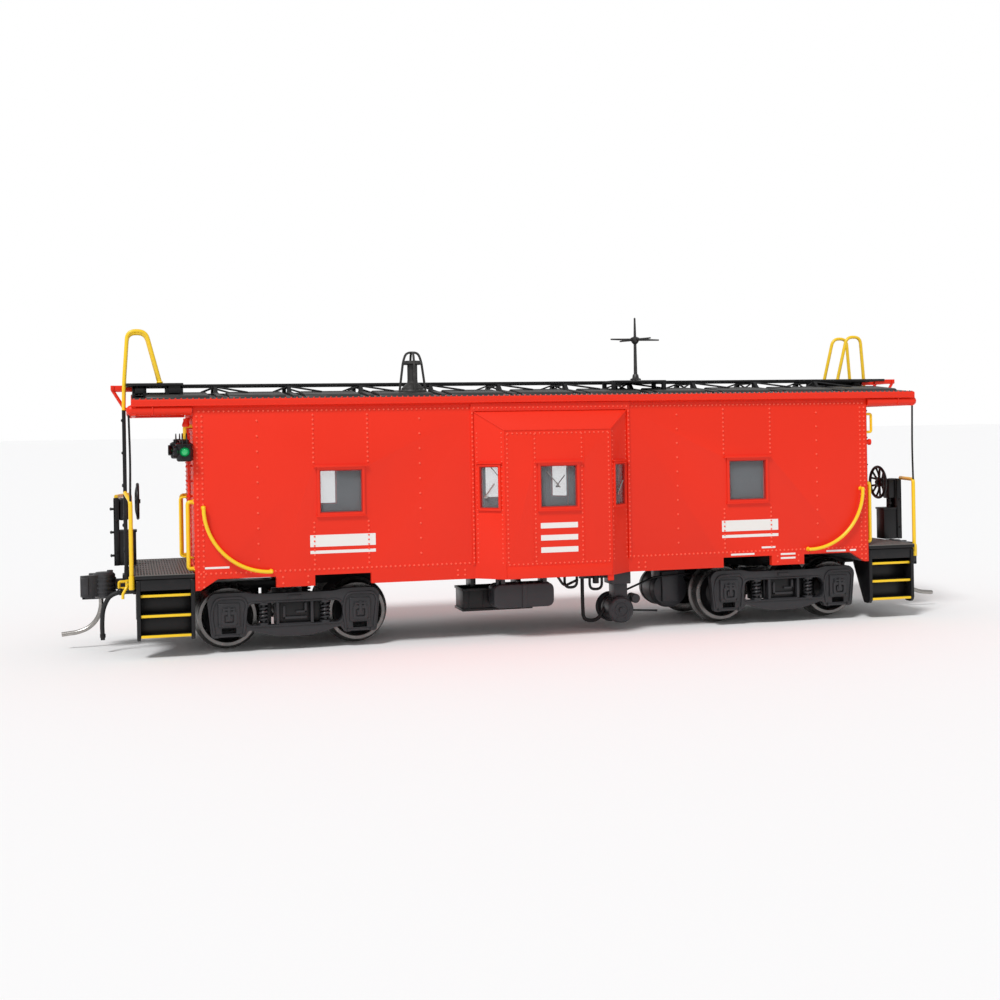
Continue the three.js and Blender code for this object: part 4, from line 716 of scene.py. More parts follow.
# ---- Body --------------------------------------------------------------------------------
@dataclass(frozen=True)
class Body:
    """The cabin: its shell, bays, windows, doors, rivets and plain white marks."""

    window_x: float = 35.5
    window_z: float = 25.45
    window: float = 6.9
    sash: float = 0.17  # width of a window's inner frame
    bay_wall: float = 13.4  # half length of a bay where it meets the wall
    bay_face: float = 9.15  # half length of its front
    bay_brow: float = 34.8  # top of its front
    flange: float = 13.9
    flange_low: float = 12.7
    row_high: float = 38.55
    row_low: float = 13.0
    pitch: float = 0.78
    open_pitch: float = 2.4
    door_half: float = 3.8
    door_top: float = 34.5

    def build(self) -> None:
        """Builds every piece of the body."""
        self.shell()
        self.flanges()
        self.sashes()
        self.panes()
        self.side_rivets()
        self.end_rivets()
        self.doors()
        self.wipers()
        self.marks()
        self.end_fittings()

    def shell(self) -> None:
        """Rounds the CAD shell's edges and gives its inside the colour of bare plastic."""
        shape = Shape.from_node("body_shell", 0.07)
        shape.bm.normal_update()
        for face in shape.bm.faces:
            centre = face.calc_center_median()
            inward = face.normal.y * (1 if centre.y > 0 else -1) < -0.1
            in_cabin = abs(centre.x) < CAR.end - 0.9 and abs(centre.y) < CAR.side - 0.9
            in_bay = abs(centre.x) < self.bay_wall - 1 and inward
            face.material_index = 1 if in_cabin or in_bay else 0
        shape.publish("body_shell_finished", "carbody", PAINT.body, PAINT.liner,
                      replaces=["body_shell"])

    def bay_panel(self, share: float, z: float) -> Vector:
        """Returns a point on the right end panel of the near bay, by its share from the wall."""
        x = self.bay_wall + (self.bay_face - self.bay_wall) * share
        y = -CAR.side + (CAR.side - CAR.bay_front) * share
        return Vector((x, y, z))

    def flanges(self) -> None:
        """Adds the strips where each bay meets the wall, and the beads along its edges."""
        near = Shape()
        wall, strip = -CAR.side, CAR.eave_top - 1.17
        for sign in (-1, 1):
            x0, x1 = sorted((sign * (self.bay_wall + 0.02), sign * self.flange))
            near.box((x0, wall - 0.25, self.flange_low), (x1, wall + 0.1, CAR.eave_low + 0.08), 0.06)
            brow = (sign * self.bay_face, -CAR.bay_front, self.bay_brow)
            near.wire([brow, (sign * self.bay_wall, wall - 0.05, CAR.eave_low)], 0.11)
            near.wire([brow, (sign * self.bay_face, -CAR.bay_front, CAR.sill + 0.1)], 0.07)
            near.box((sign * 4.4 - 0.07, -CAR.bay_front - 0.05, self.flange_low),
                     (sign * 4.4 + 0.07, -CAR.bay_front + 0.1, self.bay_brow - 0.2), 0.02)
        near.box((-self.flange, wall - 0.26, CAR.eave_low + 0.02),
                 (self.flange, wall + 0.1, strip), 0.06)
        near.wire([(-self.bay_face, -CAR.bay_front, self.bay_brow),
                   (self.bay_face, -CAR.bay_front, self.bay_brow)], 0.11)
        near.box((-self.bay_face + 0.1, -CAR.bay_front - 0.09, CAR.sill + 0.05),
                 (self.bay_face - 0.1, -CAR.bay_front + 0.1, self.flange_low - 0.3), 0.04)
        for sign in (-1, 1):
            x0, x1 = sorted((sign * (self.bay_wall - 0.5), sign * (CAR.end - 0.1)))
            near.box((x0, wall - 0.05, self.row_high + 0.42), (x1, wall + 0.1, self.row_high + 0.52),
                     0.02)
        both = Shape().add(near).add(near, MIRROR_Y)
        both.publish("bay_flanges", "carbody", PAINT.body)

    def frame_ring(self, half: float, tall: float, band: float, y: float, depth: float) -> Shape:
        """Returns a rectangular ring round the origin's XZ plane, from y to y + depth."""
        outer = [(-half, -tall), (half, -tall), (half, tall), (-half, tall)]
        inner = [(u * (half - band) / half, v * (tall - band) / tall) for u, v in outer]
        return Shape().plate(outer, Plane.XZ, y, y + depth, 0.06, [inner])

    def bay_end_place(self, sign: int) -> Matrix:
        """Returns the matrix that sets a shape facing -Y into a bay's end panel."""
        middle = self.bay_panel(0.5, self.window_z)
        angle = math.atan2(CAR.bay_front - CAR.side, self.bay_wall - self.bay_face)
        return Matrix.Translation((sign * middle.x, middle.y, middle.z)) @ Matrix.Rotation(
            sign * angle, 4, "Z")

    def sashes(self) -> None:
        """Adds the darker inner frames in the windows, their sills and hoods."""
        near = Shape()
        half = self.window / 2
        for x, y, wide in ((-self.window_x, CAR.side, half), (self.window_x, CAR.side, half),
                           (0, CAR.bay_front, half - 0.3)):
            move = Matrix.Translation((x, -y, self.window_z))
            near.add(self.frame_ring(wide + 0.02, half + 0.02, self.sash, -0.18, 0.6), move)
            near.in_paint(1)
            near.box((x - wide - 0.6, -y - 0.42, self.window_z - half - 0.62),
                     (x + wide + 0.6, -y + 0.1, self.window_z - half - 0.42), 0.05)
        for sign in (-1, 1):
            place = self.bay_end_place(sign)
            near.add(self.painted_ring(), place)
        both = Shape().add(near).add(near, MIRROR_Y)
        both.publish("window_sashes", "carbody", PAINT.sash, PAINT.body)

    def painted_ring(self) -> Shape:
        """Returns the raised frame of a bay's end window, with its dark inner edge."""
        ring = self.frame_ring(1.77, 3.47, self.sash, -0.15, 0.5)
        ring.add(self.body_ring())
        return ring

    def body_ring(self) -> Shape:
        """Returns the outer band and the hood of a bay's end window."""
        outer = [(-2.15, -3.85), (2.15, -3.85), (2.15, 3.85), (-2.15, 3.85)]
        inner = [(-1.74, -3.44), (1.74, -3.44), (1.74, 3.44), (-1.74, 3.44)]
        band = Shape().in_paint(1)
        band.plate(outer, Plane.XZ, -0.3, 0.15, 0.06, [inner])
        band.box((-2.4, -0.5, 3.86), (2.4, 0.1, 4.08), 0.05)
        return band

    def panes(self) -> None:
        """Fills the windows with clear panes, a piece for each side."""
        half = self.window / 2 - 0.05
        for label, move in (("near", AS_BUILT), ("far", MIRROR_Y)):
            side = Shape()
            for x, y, wide in ((-self.window_x, CAR.side, half), (self.window_x, CAR.side, half),
                               (0, CAR.bay_front, half - 0.3)):
                side.box((x - wide, -y + 0.35, self.window_z - half),
                         (x + wide, -y + 0.6, self.window_z + half), 0.03)
            for sign in (-1, 1):
                pane = Shape().box((-1.7, 0.2, -half), (1.7, 0.4, half), 0.03)
                side.add(pane, self.bay_end_place(sign))
            side.moved(move).publish("window_panes_" + label, "carbody", PAINT.glass,
                                     replaces=["window_strip_" + label])

    def side_rivets(self) -> None:
        """Adds the rows and columns of rivets on both sides and on the bays, in a lighter red that is a painted
        highlight.
        """
        near = Shape()
        wall, front = -CAR.side, -CAR.bay_front
        hood = self.window_z + self.window / 2 + 1.3
        below = self.window_z - self.window / 2 - 1.5
        places: list[Point] = []
        for sign in (-1, 1):
            along = spread(self.flange + 0.5, CAR.end - 0.9, self.pitch)
            places += [(sign * x, wall, self.row_high) for x in along]
            places += [(sign * x, wall, self.row_low) for x in along]
            for x in (CAR.end - 0.55, CAR.end - 1.35):
                places += [(sign * x, wall, z) for z in spread(CAR.sill + 0.5, 37.8, self.pitch * 1.05)]
            for x in (48.8, 22.5):
                places += [(sign * x, wall, z) for z in spread(15.0, 37.0, self.open_pitch)]
            for x in (39.9, 31.1):
                places += [(sign * x, wall, z) for z in spread(hood, 37.8, self.pitch)]
                places += [(sign * x, wall, z) for z in spread(self.row_low + 0.8, below, self.pitch)]
            places += [(sign * (TRUCK_X + dx), wall, z) for dx in (-2, 2)
                       for z in (CAR.sill + 0.6, CAR.sill + 1.6)]
            places += [(sign * x, wall, z) for x in (15.2, 16.4) for z in (CAR.sill + 0.7, 11.9)]
        near.rivets(places, (0, -1, 0))
        bay: list[Point] = [(x, wall - 0.26, self.row_high) for x in spread(-13.3, 13.3, self.pitch)]
        for sign in (-1, 1):
            bay += [(sign * 13.65, wall - 0.26, z) for z in spread(13.1, 37.7, self.pitch)]
            bay += [(sign * 4.05, front, z) for z in spread(13.2, self.bay_brow - 0.7, self.pitch)]
            bay += [(sign * 8.75, front, z) for z in spread(13.2, self.bay_brow - 0.7, self.pitch)]
        bay += [(x, front, self.bay_brow - 0.55) for x in spread(-8.6, 8.6, self.pitch)]
        bay += [(x, front, self.flange_low + 0.1) for x in spread(-8.6, 8.6, self.pitch)]
        near.rivets(bay, (0, -1, 0), 0.17)
        for sign in (-1, 1):
            facing = Vector((sign * (CAR.bay_front - CAR.side), self.bay_face - self.bay_wall, 0))
            for share in (0.1, 0.9):
                columns = [self.bay_panel(share, z) for z in spread(13.1, 34.4, self.pitch)]
                near.rivets([(sign * p.x, p.y, p.z) for p in columns], facing, 0.15)
        both = Shape().add(near).add(near, MIRROR_Y)
        # The rivets take a lighter red than the body: a painted highlight on their domes.
        both.publish("side_rivets", "carbody", PAINT.rivet_highlight)

    def end_rivets(self) -> None:
        """Adds the rivets of the end walls, in a lighter red that is a painted highlight, and the ribs beside the
        doors.
        """
        right = Shape()
        x = CAR.end
        places: list[Point] = []
        for sign in (-1, 1):
            for y in (CAR.side - 0.6, 9.4, 5.2):
                places += [(x, sign * y, z) for z in spread(14.2, 37.2, self.pitch)]
            places += [(x, y, z) for z in (14.0, 37.3)
                       for y in spread(sign * 5.2, sign * (CAR.side - 0.6), self.pitch)]
            right.box((x - 0.1, sign * 4.5 - 0.18, CAR.deck + 0.1),
                      (x + 0.16, sign * 4.5 + 0.18, self.door_top + 0.6), 0.05)
        right.box((x - 0.1, -4.68, self.door_top + 0.4), (x + 0.22, 4.68, self.door_top + 0.75), 0.05)
        # The rivets go in the lighter red of a painted highlight.
        right.in_paint(1)
        right.rivets(places, (1, 0, 0), 0.18)
        both = Shape().add(right).add(right, HALF_TURN)
        both.publish("end_rivets", "carbody", PAINT.body, PAINT.rivet_highlight)

    def doors(self) -> None:
        """Adds a panelled door with a window, hinges and a handle in each end's recess."""
        half, low, high = self.door_half - 0.15, CAR.deck + 0.25, self.door_top - 0.15
        x = CAR.end - 0.4
        sill, head = self.window_z, self.window_z + self.window
        leaf = [(-half, low), (half, low), (half, high), (-half, high)]
        opening = [(-2.15, sill + 0.05), (2.15, sill + 0.05), (2.15, head - 0.05), (-2.15, head - 0.05)]
        right = Shape().plate(leaf, Plane.YZ, x, x + 0.22, 0.05, [opening])
        for z0, z1 in ((low + 1, 18.4), (19.4, sill - 1.2)):
            rim = [(-2.5, z0), (2.5, z0), (2.5, z1), (-2.5, z1)]
            inner = [(-2.1, z0 + 0.4), (2.1, z0 + 0.4), (2.1, z1 - 0.4), (-2.1, z1 - 0.4)]
            right.plate(rim, Plane.YZ, x + 0.15, x + 0.36, 0.06, [inner])
        band = [(-2.6, sill - 0.4), (2.6, sill - 0.4), (2.6, head + 0.4), (-2.6, head + 0.4)]
        right.plate(band, Plane.YZ, x + 0.15, x + 0.4, 0.06, [opening])
        for z in (16, 24, 32):
            right.rod((x + 0.35, half, z - 0.6), (x + 0.35, half, z + 0.6), 0.22, 12, bevel=0.05)
        right.in_paint(1)
        right.rod((x + 0.2, -2.95, 23.2), (x + 0.75, -2.95, 23.2), 0.14)
        right.wire([(x + 0.75, -2.95, 23.2), (x + 0.75, -2.0, 23.2)], 0.14)
        right.in_paint(2)
        right.box((x + 0.02, -2.3, sill - 0.1), (x + 0.14, 2.3, head + 0.1), 0.02)
        both = Shape().add(right).add(right, HALF_TURN)
        both.publish("end_doors", "carbody", PAINT.body, PAINT.steel, PAINT.glass)

    def wipers(self) -> None:
        """Adds the bright wiper arms across the bay windows."""
        near = Shape()
        for sign in (-1, 1):
            arm = Shape()
            arm.wire([(-0.85, -0.1, -1.6), (0.95, -0.16, 0.6)], 0.11)
            arm.box((-0.95, -0.2, -1.75), (-0.2, -0.05, -1.45), 0.04)
            near.add(arm, self.bay_end_place(sign))
        near.wire([(-2.0, -CAR.bay_front + 0.1, self.window_z + 2.5),
                   (0.3, -CAR.bay_front + 0.1, self.window_z - 0.2)], 0.09)
        both = Shape().add(near).add(near, MIRROR_Y)
        both.publish("bay_wipers", "carbody", PAINT.steel)

    def marks(self) -> None:
        """Adds plain white bars, which say nothing, where a car carries its markings."""
        near = Shape()
        wall, front = -CAR.side, -CAR.bay_front

        def bar(x0: float, x1: float, z0: float, z1: float, y: float) -> None:
            """Adds one bar on a surface that faces -Y."""
            near.box((x0, y - 0.035, z0), (x1, y + 0.05, z1), 0)

        for x0, x1 in ((-40.6, -30.0), (30.6, 41.2)):
            bar(x0, x1, 16.6, 18.5, wall)
            bar(x0, x1, 15.5, 16.0, wall)
        for z in (15.0, 17.0, 19.0):
            bar(-3.2, 3.2, z - 0.45, z + 0.45, front)
        for x0, x1, z in ((-57.2, -53.4, 13.9), (38.0, 40.6, 13.6), (32.2, 36.6, 12.55),
                          (41.6, 44.4, 12.3), (41.6, 44.4, 11.6), (50.4, 54.2, 12.5), (55.0, 56.2, 12.5)):
            bar(x0, x1, z - 0.16, z + 0.16, wall)
        both = Shape().add(near).add(near, HALF_TURN)
        both.publish("plain_marks", "carbody", PAINT.white)

    def end_fittings(self) -> None:
        """Adds the small pipes, brackets and grab irons on the end walls."""
        x, y = CAR.end, -CAR.side + 1.1
        yellow = Shape()
        yellow.wire([(x - 0.1, y, 33.4), (x + 1.5, y, 33.4), (x + 1.5, y, 36.6), (x - 0.1, y, 36.6)],
                    0.24, 0.35)
        yellow.wire([(-x + 0.1, y + 0.4, 36.3), (-x - 1.2, y + 0.4, 36.3), (-x - 1.2, y + 0.4, 34.2)],
                    0.3, 0.4)
        yellow.wire([(-x - 0.2, y + 1.3, 25.2), (-x - 2.1, y + 1.3, 25.0), (-x - 2.1, y + 1.3, 15.8),
                     (-x - 0.1, y + 1.3, 15.4)], 0.18, 0.4)
        yellow.publish("end_grabs", "carbody", PAINT.yellow)
        red = Shape()
        for dy in (0.5, 1.5):
            red.wire([(-x - 0.7, y + dy, 24.6), (-x - 0.7, y + dy, 37.2), (-x - 0.1, y + dy, 37.8)],
                     0.16, 0.4)
        for z in (25.2, 27.6, 30.0, 33.0, 36.0):
            red.wire([(-x - 0.7, y + 0.3, z), (-x - 0.7, y + 1.7, z)], 0.2)
            red.wire([(-x + 0.1, y + 1.0, z), (-x - 1.1, y + 1.0, z)], 0.16)
        red.turned([(0, 0), (0.55, 0), (0.62, 0.3), (0.4, 0.9), (0.4, 1.3), (0, 1.35)],
                   (-x - 1.0, y + 0.4, 36.2), Axis.Z, 20)
        peg = Vector((x, -CAR.side + 1.2, 31.6))
        for sign in (1, -1):
            red.turned([(0, 0), (0.62, 0), (0.62, 0.3), (0.42, 0.4), (0.42, 0.9), (0.55, 1.0),
                        (0.55, 1.3), (0, 1.35)], (peg.x, sign * peg.y, peg.z), Axis.X, 20)
        red.publish("end_pipes", "carbody", PAINT.body)


# ---- Roof --------------------------------------------------------------------------------
@dataclass(frozen=True)
class Roof:
    """The roof, its red eaves, the walkway on brackets, the stack and the aerial."""

    skin: float = 0.75
    strip: float = 1.15
    pitch: float = 12.1
    last_joint: float = 59.0
    walk_half: float = 3.6
    slat_pitch: float = 0.62

    def build(self) -> None:
        """Builds every piece of the roof."""
        self.deck()
        self.eaves()
        self.walkway()
        self.stack()
        self.aerial()

    def joints(self) -> list[float]:
        """Returns the places along the roof where its panels meet."""
        half = [(i + 0.5) * self.pitch for i in range(int(self.last_joint / self.pitch + 0.5))]
        return [-x for x in reversed(half)] + half

    def deck(self) -> None:
        """Adds the black roof with its ribs, raised panels and rows of rivets."""
        edge, end = CAR.roof_side - 0.15, CAR.roof_end - 0.1
        top = [(-edge, roof_level(edge)), (0, CAR.ridge), (edge, roof_level(edge))]
        under = [(y, z - self.skin) for y, z in reversed(top)]
        shape = Shape().plate(top + under, Plane.YZ, -end, end, 0.08)
        for x in self.joints():
            for sign in (-1, 1):
                shape.add(self.rib(sign), Matrix.Translation((x, 0, 0)))
        spans = [-end + 0.6, *self.joints(), end - 0.6]
        for x0, x1 in zip(spans, spans[1:]):
            for sign in (-1, 1):
                shape.add(self.panel(x0 + 1.5, x1 - 1.5, sign))
        dots = [(x, sign * (edge - 0.5), roof_level(edge - 0.5))
                for sign in (-1, 1) for x in spread(-end + 0.5, end - 0.5, 0.9)]
        dots += [(x + dx, sign * y, roof_level(y)) for x in self.joints() for dx in (-0.95, 0.95)
                 for sign in (-1, 1) for y in spread(4.4, edge - 1.2, 0.95)]
        shape.rivets(dots, (0, 0, 1), 0.19)
        shape.publish("roof_deck", "carbody", PAINT.roof, replaces=["roof"])

    def rib(self, sign: int) -> Shape:
        """Returns a rib from the eave up to the walkway, on one side of the roof."""
        low, high = CAR.roof_side - 0.9, self.walk_half
        line = [(sign * low, roof_level(low) - 0.05), (sign * (low - 0.5), roof_level(low) + 0.45),
                (sign * high, roof_level(high) + 0.45), (sign * high, roof_level(high) - 0.05)]
        return Shape().plate(line, Plane.YZ, -0.45, 0.45, 0.15, segments=3)

    def panel(self, x0: float, x1: float, sign: int) -> Shape:
        """Returns a raised panel with sloping edges between two joints."""
        y0, y1 = 4.8, CAR.roof_side - 1.9
        slope = 0.5
        line = [(sign * y1, roof_level(y1) - 0.05), (sign * (y1 - slope), roof_level(y1) + 0.5),
                (sign * (y0 + slope), roof_level(y0) + 0.5), (sign * y0, roof_level(y0) - 0.05)]
        return Shape().plate(line, Plane.YZ, x0, x1, 0.3, segments=2)

    def eaves(self) -> None:
        """Adds the red edge strips, the overhangs' rolled plates and the end plates."""
        side, end = CAR.roof_side, CAR.roof_end
        low = CAR.eave_top - self.strip
        strip = eased([(-side + 0.75, low), (-side + 0.1, low), (-side, low + 0.5),
                       (-side, CAR.eave_top - 0.1), (-side + 0.35, CAR.eave_top + 0.02),
                       (-side + 0.75, CAR.eave_top - 0.3)], 0.25, 3, closed=True)
        near = Shape().plate(strip, Plane.YZ, -end, end, 0)
        near.wire([(-end, -side + 0.12, low + 0.16), (end, -side + 0.12, low + 0.16)], 0.14)
        near.rivets([(x, -side + 0.3, CAR.eave_top) for x in spread(-end + 0.4, end - 0.4, 0.9)],
                    (0, 0, 1), 0.19)
        for sign in (-1, 1):
            x0, x1 = sorted((sign * (CAR.end + 0.1), sign * end))
            lip = eased([(-CAR.side + 0.7, CAR.eave_low + 0.1), (-CAR.side + 0.1, CAR.eave_low),
                         (-CAR.side - 0.45, CAR.eave_low + 0.45), (-CAR.side - 0.45, low - 0.2),
                         (-CAR.side, low + 0.05), (-CAR.side + 0.7, low + 0.05)], 0.4, 5, closed=True)
            near.plate(lip, Plane.YZ, x0, x1, 0)
            near.ball((sign * (end - 0.05), -CAR.side + 0.35, CAR.eave_low + 0.85), 0.85)
            near.wire([(sign * (end - 3.2), -CAR.side - 0.42, CAR.eave_low + 0.1),
                       (sign * (end - 3.2), -CAR.side - 0.5, low)], 0.1)
        both = Shape().add(near).add(near, MIRROR_Y)
        edge = CAR.side + 0.3
        face = [(-edge, CAR.eave_low + 0.05), (edge, CAR.eave_low + 0.05), (edge, roof_level(edge) - 0.1),
                (0, CAR.ridge - 0.1), (-edge, roof_level(edge) - 0.1)]
        for sign in (-1, 1):
            x0, x1 = sorted((sign * (end - 0.7), sign * end))
            both.plate(face, Plane.YZ, x0, x1, 0.08)
            both.rivets([(sign * end, y, CAR.eave_low + 0.6) for y in spread(-14, 14, 0.95)],
                        (sign, 0, 0), 0.12)
            x0, x1 = sorted((sign * (CAR.end + 0.1), sign * (end - 0.6)))
            both.box((x0, -CAR.side + 0.5, low - 0.1), (x1, CAR.side - 0.5, low + 0.25), 0.03)
        both.publish("roof_eaves", "carbody", PAINT.body)

    def grating(self, x0: float, x1: float, y0: float, y1: float) -> Shape:
        """Returns an open grating under the walkway's level, with a solid rim."""
        top, thick = CAR.walk_top, 0.42
        shape = Shape()
        for y in (y0, y1):
            shape.box((x0, y - 0.14, top - thick), (x1, y + 0.14, top), 0.05)
        for x in (x0, x1):
            shape.box((x - 0.14, y0, top - thick), (x + 0.14, y1, top), 0.05)
        for y in spread(y0, y1, 0.9)[1:-1]:
            shape.box((x0, y - 0.08, top - thick), (x1, y + 0.08, top - 0.08), 0)
        for x in spread(x0, x1, self.slat_pitch)[1:-1]:
            shape.box((x - 0.1, y0, top - 0.3), (x + 0.1, y1, top - 0.02), 0)
        return shape

    def walkway(self) -> None:
        """Adds the grated walkway, its brackets, the ladder landings and the red end brackets."""
        end, half = CAR.roof_end + 1.0, self.walk_half - 0.15
        shape = self.grating(-end, end, -half, half)
        for x in self.joints():
            shape.add(self.bracket(), Matrix.Translation((x, 0, 0)))
        landing = self.landing()
        shape.add(landing, MIRROR_X).add(landing, MIRROR_Y)
        shape.publish("walkway_grating", "carbody", PAINT.grate, replaces=["roof_walkway"])
        arms = self.end_arms()
        red = Shape().add(arms).add(arms, HALF_TURN)
        red.publish("walkway_end_brackets", "carbody", PAINT.body)

    def bracket(self) -> Shape:
        """Returns one bracket under the walkway with its braces down to the roof."""
        top = CAR.walk_top - 0.4
        shape = Shape().box((-0.4, -self.walk_half, top - 0.35), (0.4, self.walk_half, top), 0.08)
        for sign in (-1, 1):
            foot = roof_level(4.6)
            line = [(sign * 3.2, top), (sign * 3.9, top), (sign * 5.6, foot + 0.1), (sign * 3.2, foot)]
            shape.plate(line, Plane.YZ, -0.3, 0.3, 0.06)
            shape.box((-1.3, sign * 4.7 - 0.7, foot - 0.05), (1.3, sign * 4.7 + 0.7, foot + 0.22), 0.06)
            shape.wire([(0.2, sign * 3.5, top - 0.1), (4.8, sign * 8.8, roof_level(8.8) + 0.6)], 0.16)
            shape.wire([(-0.2, sign * 3.5, top - 0.1), (-2.4, sign * 5.4, roof_level(5.4) + 0.5)], 0.14)
        return shape

    def landing(self) -> Shape:
        """Returns the landing beside the right end's near ladder, on two bearers."""
        inner, outer = 3.5, 10.3
        x = CAR.roof_end
        shape = self.grating(x - 8.0, x + 0.6, -outer, -inner)
        for x0, x1 in ((x - 2.4, x - 0.2), (x - 8.1, x - 5.4)):
            shape.box((x0, -outer, roof_level(outer)), (x0 + 0.5, -inner + 0.9, CAR.walk_top - 0.4), 0.06)
            shape.box((x1 - 0.5, -outer, roof_level(outer)), (x1, -inner + 0.9, CAR.walk_top - 0.4), 0.06)
            shape.box((x0, -outer, CAR.walk_top - 0.9), (x1, -inner + 0.9, CAR.walk_top - 0.4), 0.06)
            for y in (-outer + 0.1, -inner):
                shape.box((x0, y - 0.1, roof_level(inner) + 0.1), (x1, y + 0.2, CAR.walk_top - 0.4), 0.04)
        return shape

    def end_arms(self) -> Shape:
        """Returns the bracket that carries the walkway past the right end of the roof."""
        x, top = CAR.roof_end, CAR.walk_top - 0.1
        shape = Shape()
        for y in (-3.1, 3.1):
            shape.box((x - 0.9, y - 0.28, top - 0.85), (x + 3.15, y + 0.28, top), 0.07)
            shape.wire([(x + 3.0, y, top - 0.5), (x + 1.0, y, CAR.eave_low + 1.3),
                        (x - 0.1, y, CAR.eave_low + 1.2)], 0.26, 0.4)
            shape.ball((x + 0.1, y, CAR.eave_low + 1.2), 0.4)
        shape.box((x + 2.6, -3.55, top - 0.8), (x + 3.18, 3.55, top), 0.07)
        return shape

    def stack(self) -> None:
        """Adds the smokestack, its flashing, cap band and the crossed hoops over it."""
        middle = node_middle("smokestack")
        low, high = node_box("smokestack")
        x, y, z, top = middle.x, middle.y, low.z, high.z - 1.6
        shape = Shape()
        shape.turned([(0, z - 0.25), (2.4, z - 0.25), (2.4, z + 0.2), (2.3, z + 0.35), (1.9, z + 0.4),
                      (1.85, z + 0.7), (1.3, z + 1.25), (0.9, z + 1.6), (0.85, z + 2.0),
                      (0.85, top - 0.7), (1.45, top - 0.65), (1.55, top - 0.5), (1.55, top - 0.1),
                      (1.45, top), (0.62, top), (0.58, top - 0.1), (0.55, z + 2), (0, z + 2)],
                     (x, y, 0), Axis.Z)
        shape.rivets([(x + 2.1 * math.cos(a), y + 2.1 * math.sin(a), z + 0.36)
                      for a in spread(0, 2 * math.pi * 15 / 16, 2 * math.pi / 16)], (0, 0, 1), 0.12)
        for turn in (0, math.pi / 2):
            reach = [(-2.2, z + 0.25), (-1.55, top - 0.1), (-1.0, top + 1.4), (1.0, top + 1.4),
                     (1.55, top - 0.1), (2.2, z + 0.25)]
            shape.wire([(x + r * math.cos(turn), y + r * math.sin(turn), h) for r, h in reach],
                       0.2, 0.9)
        shape.ball((x, y, top + 1.42), 0.34, 0.5)
        shape.publish("smokestack_finished", "carbody", PAINT.roof, replaces=["smokestack"])

    def aerial(self) -> None:
        """Adds the aerial: a tapering mast with four arms, on a plate over the roof."""
        low, high = node_box("radio_aerial")
        centre = node_middle("aerial_platform")
        x, y, foot, top = centre.x, (low.y + high.y) / 2, low.z, high.z
        hub = foot + 7.1
        shape = Shape()
        shape.turned([(0, foot), (0.95, foot), (0.95, foot + 0.2), (0.6, foot + 0.35),
                      (0.5, foot + 0.9), (0.32, foot + 1.1), (0.26, hub - 0.8), (0.5, hub - 0.6),
                      (0.8, hub - 0.1), (0.85, hub + 0.25), (0.6, hub + 0.4), (0.24, hub + 0.55),
                      (0.16, top - 0.1), (0, top - 0.02)], (x, y, 0), Axis.Z, 32)
        for degrees in (12, 102, 192, 282):
            angle = math.radians(degrees)
            out = Vector((math.cos(angle), math.sin(angle), 0))
            start = Vector((x, y, hub))
            shape.rod(start, start + out * 4.95, 0.22, 12, 0.13)
        shape.publish("radio_aerial_finished", "carbody", PAINT.roof, replaces=["radio_aerial"])
        Shape.from_node("aerial_platform", 0.08).publish(
            "aerial_platform_finished", "carbody", PAINT.grate, replaces=["aerial_platform"])


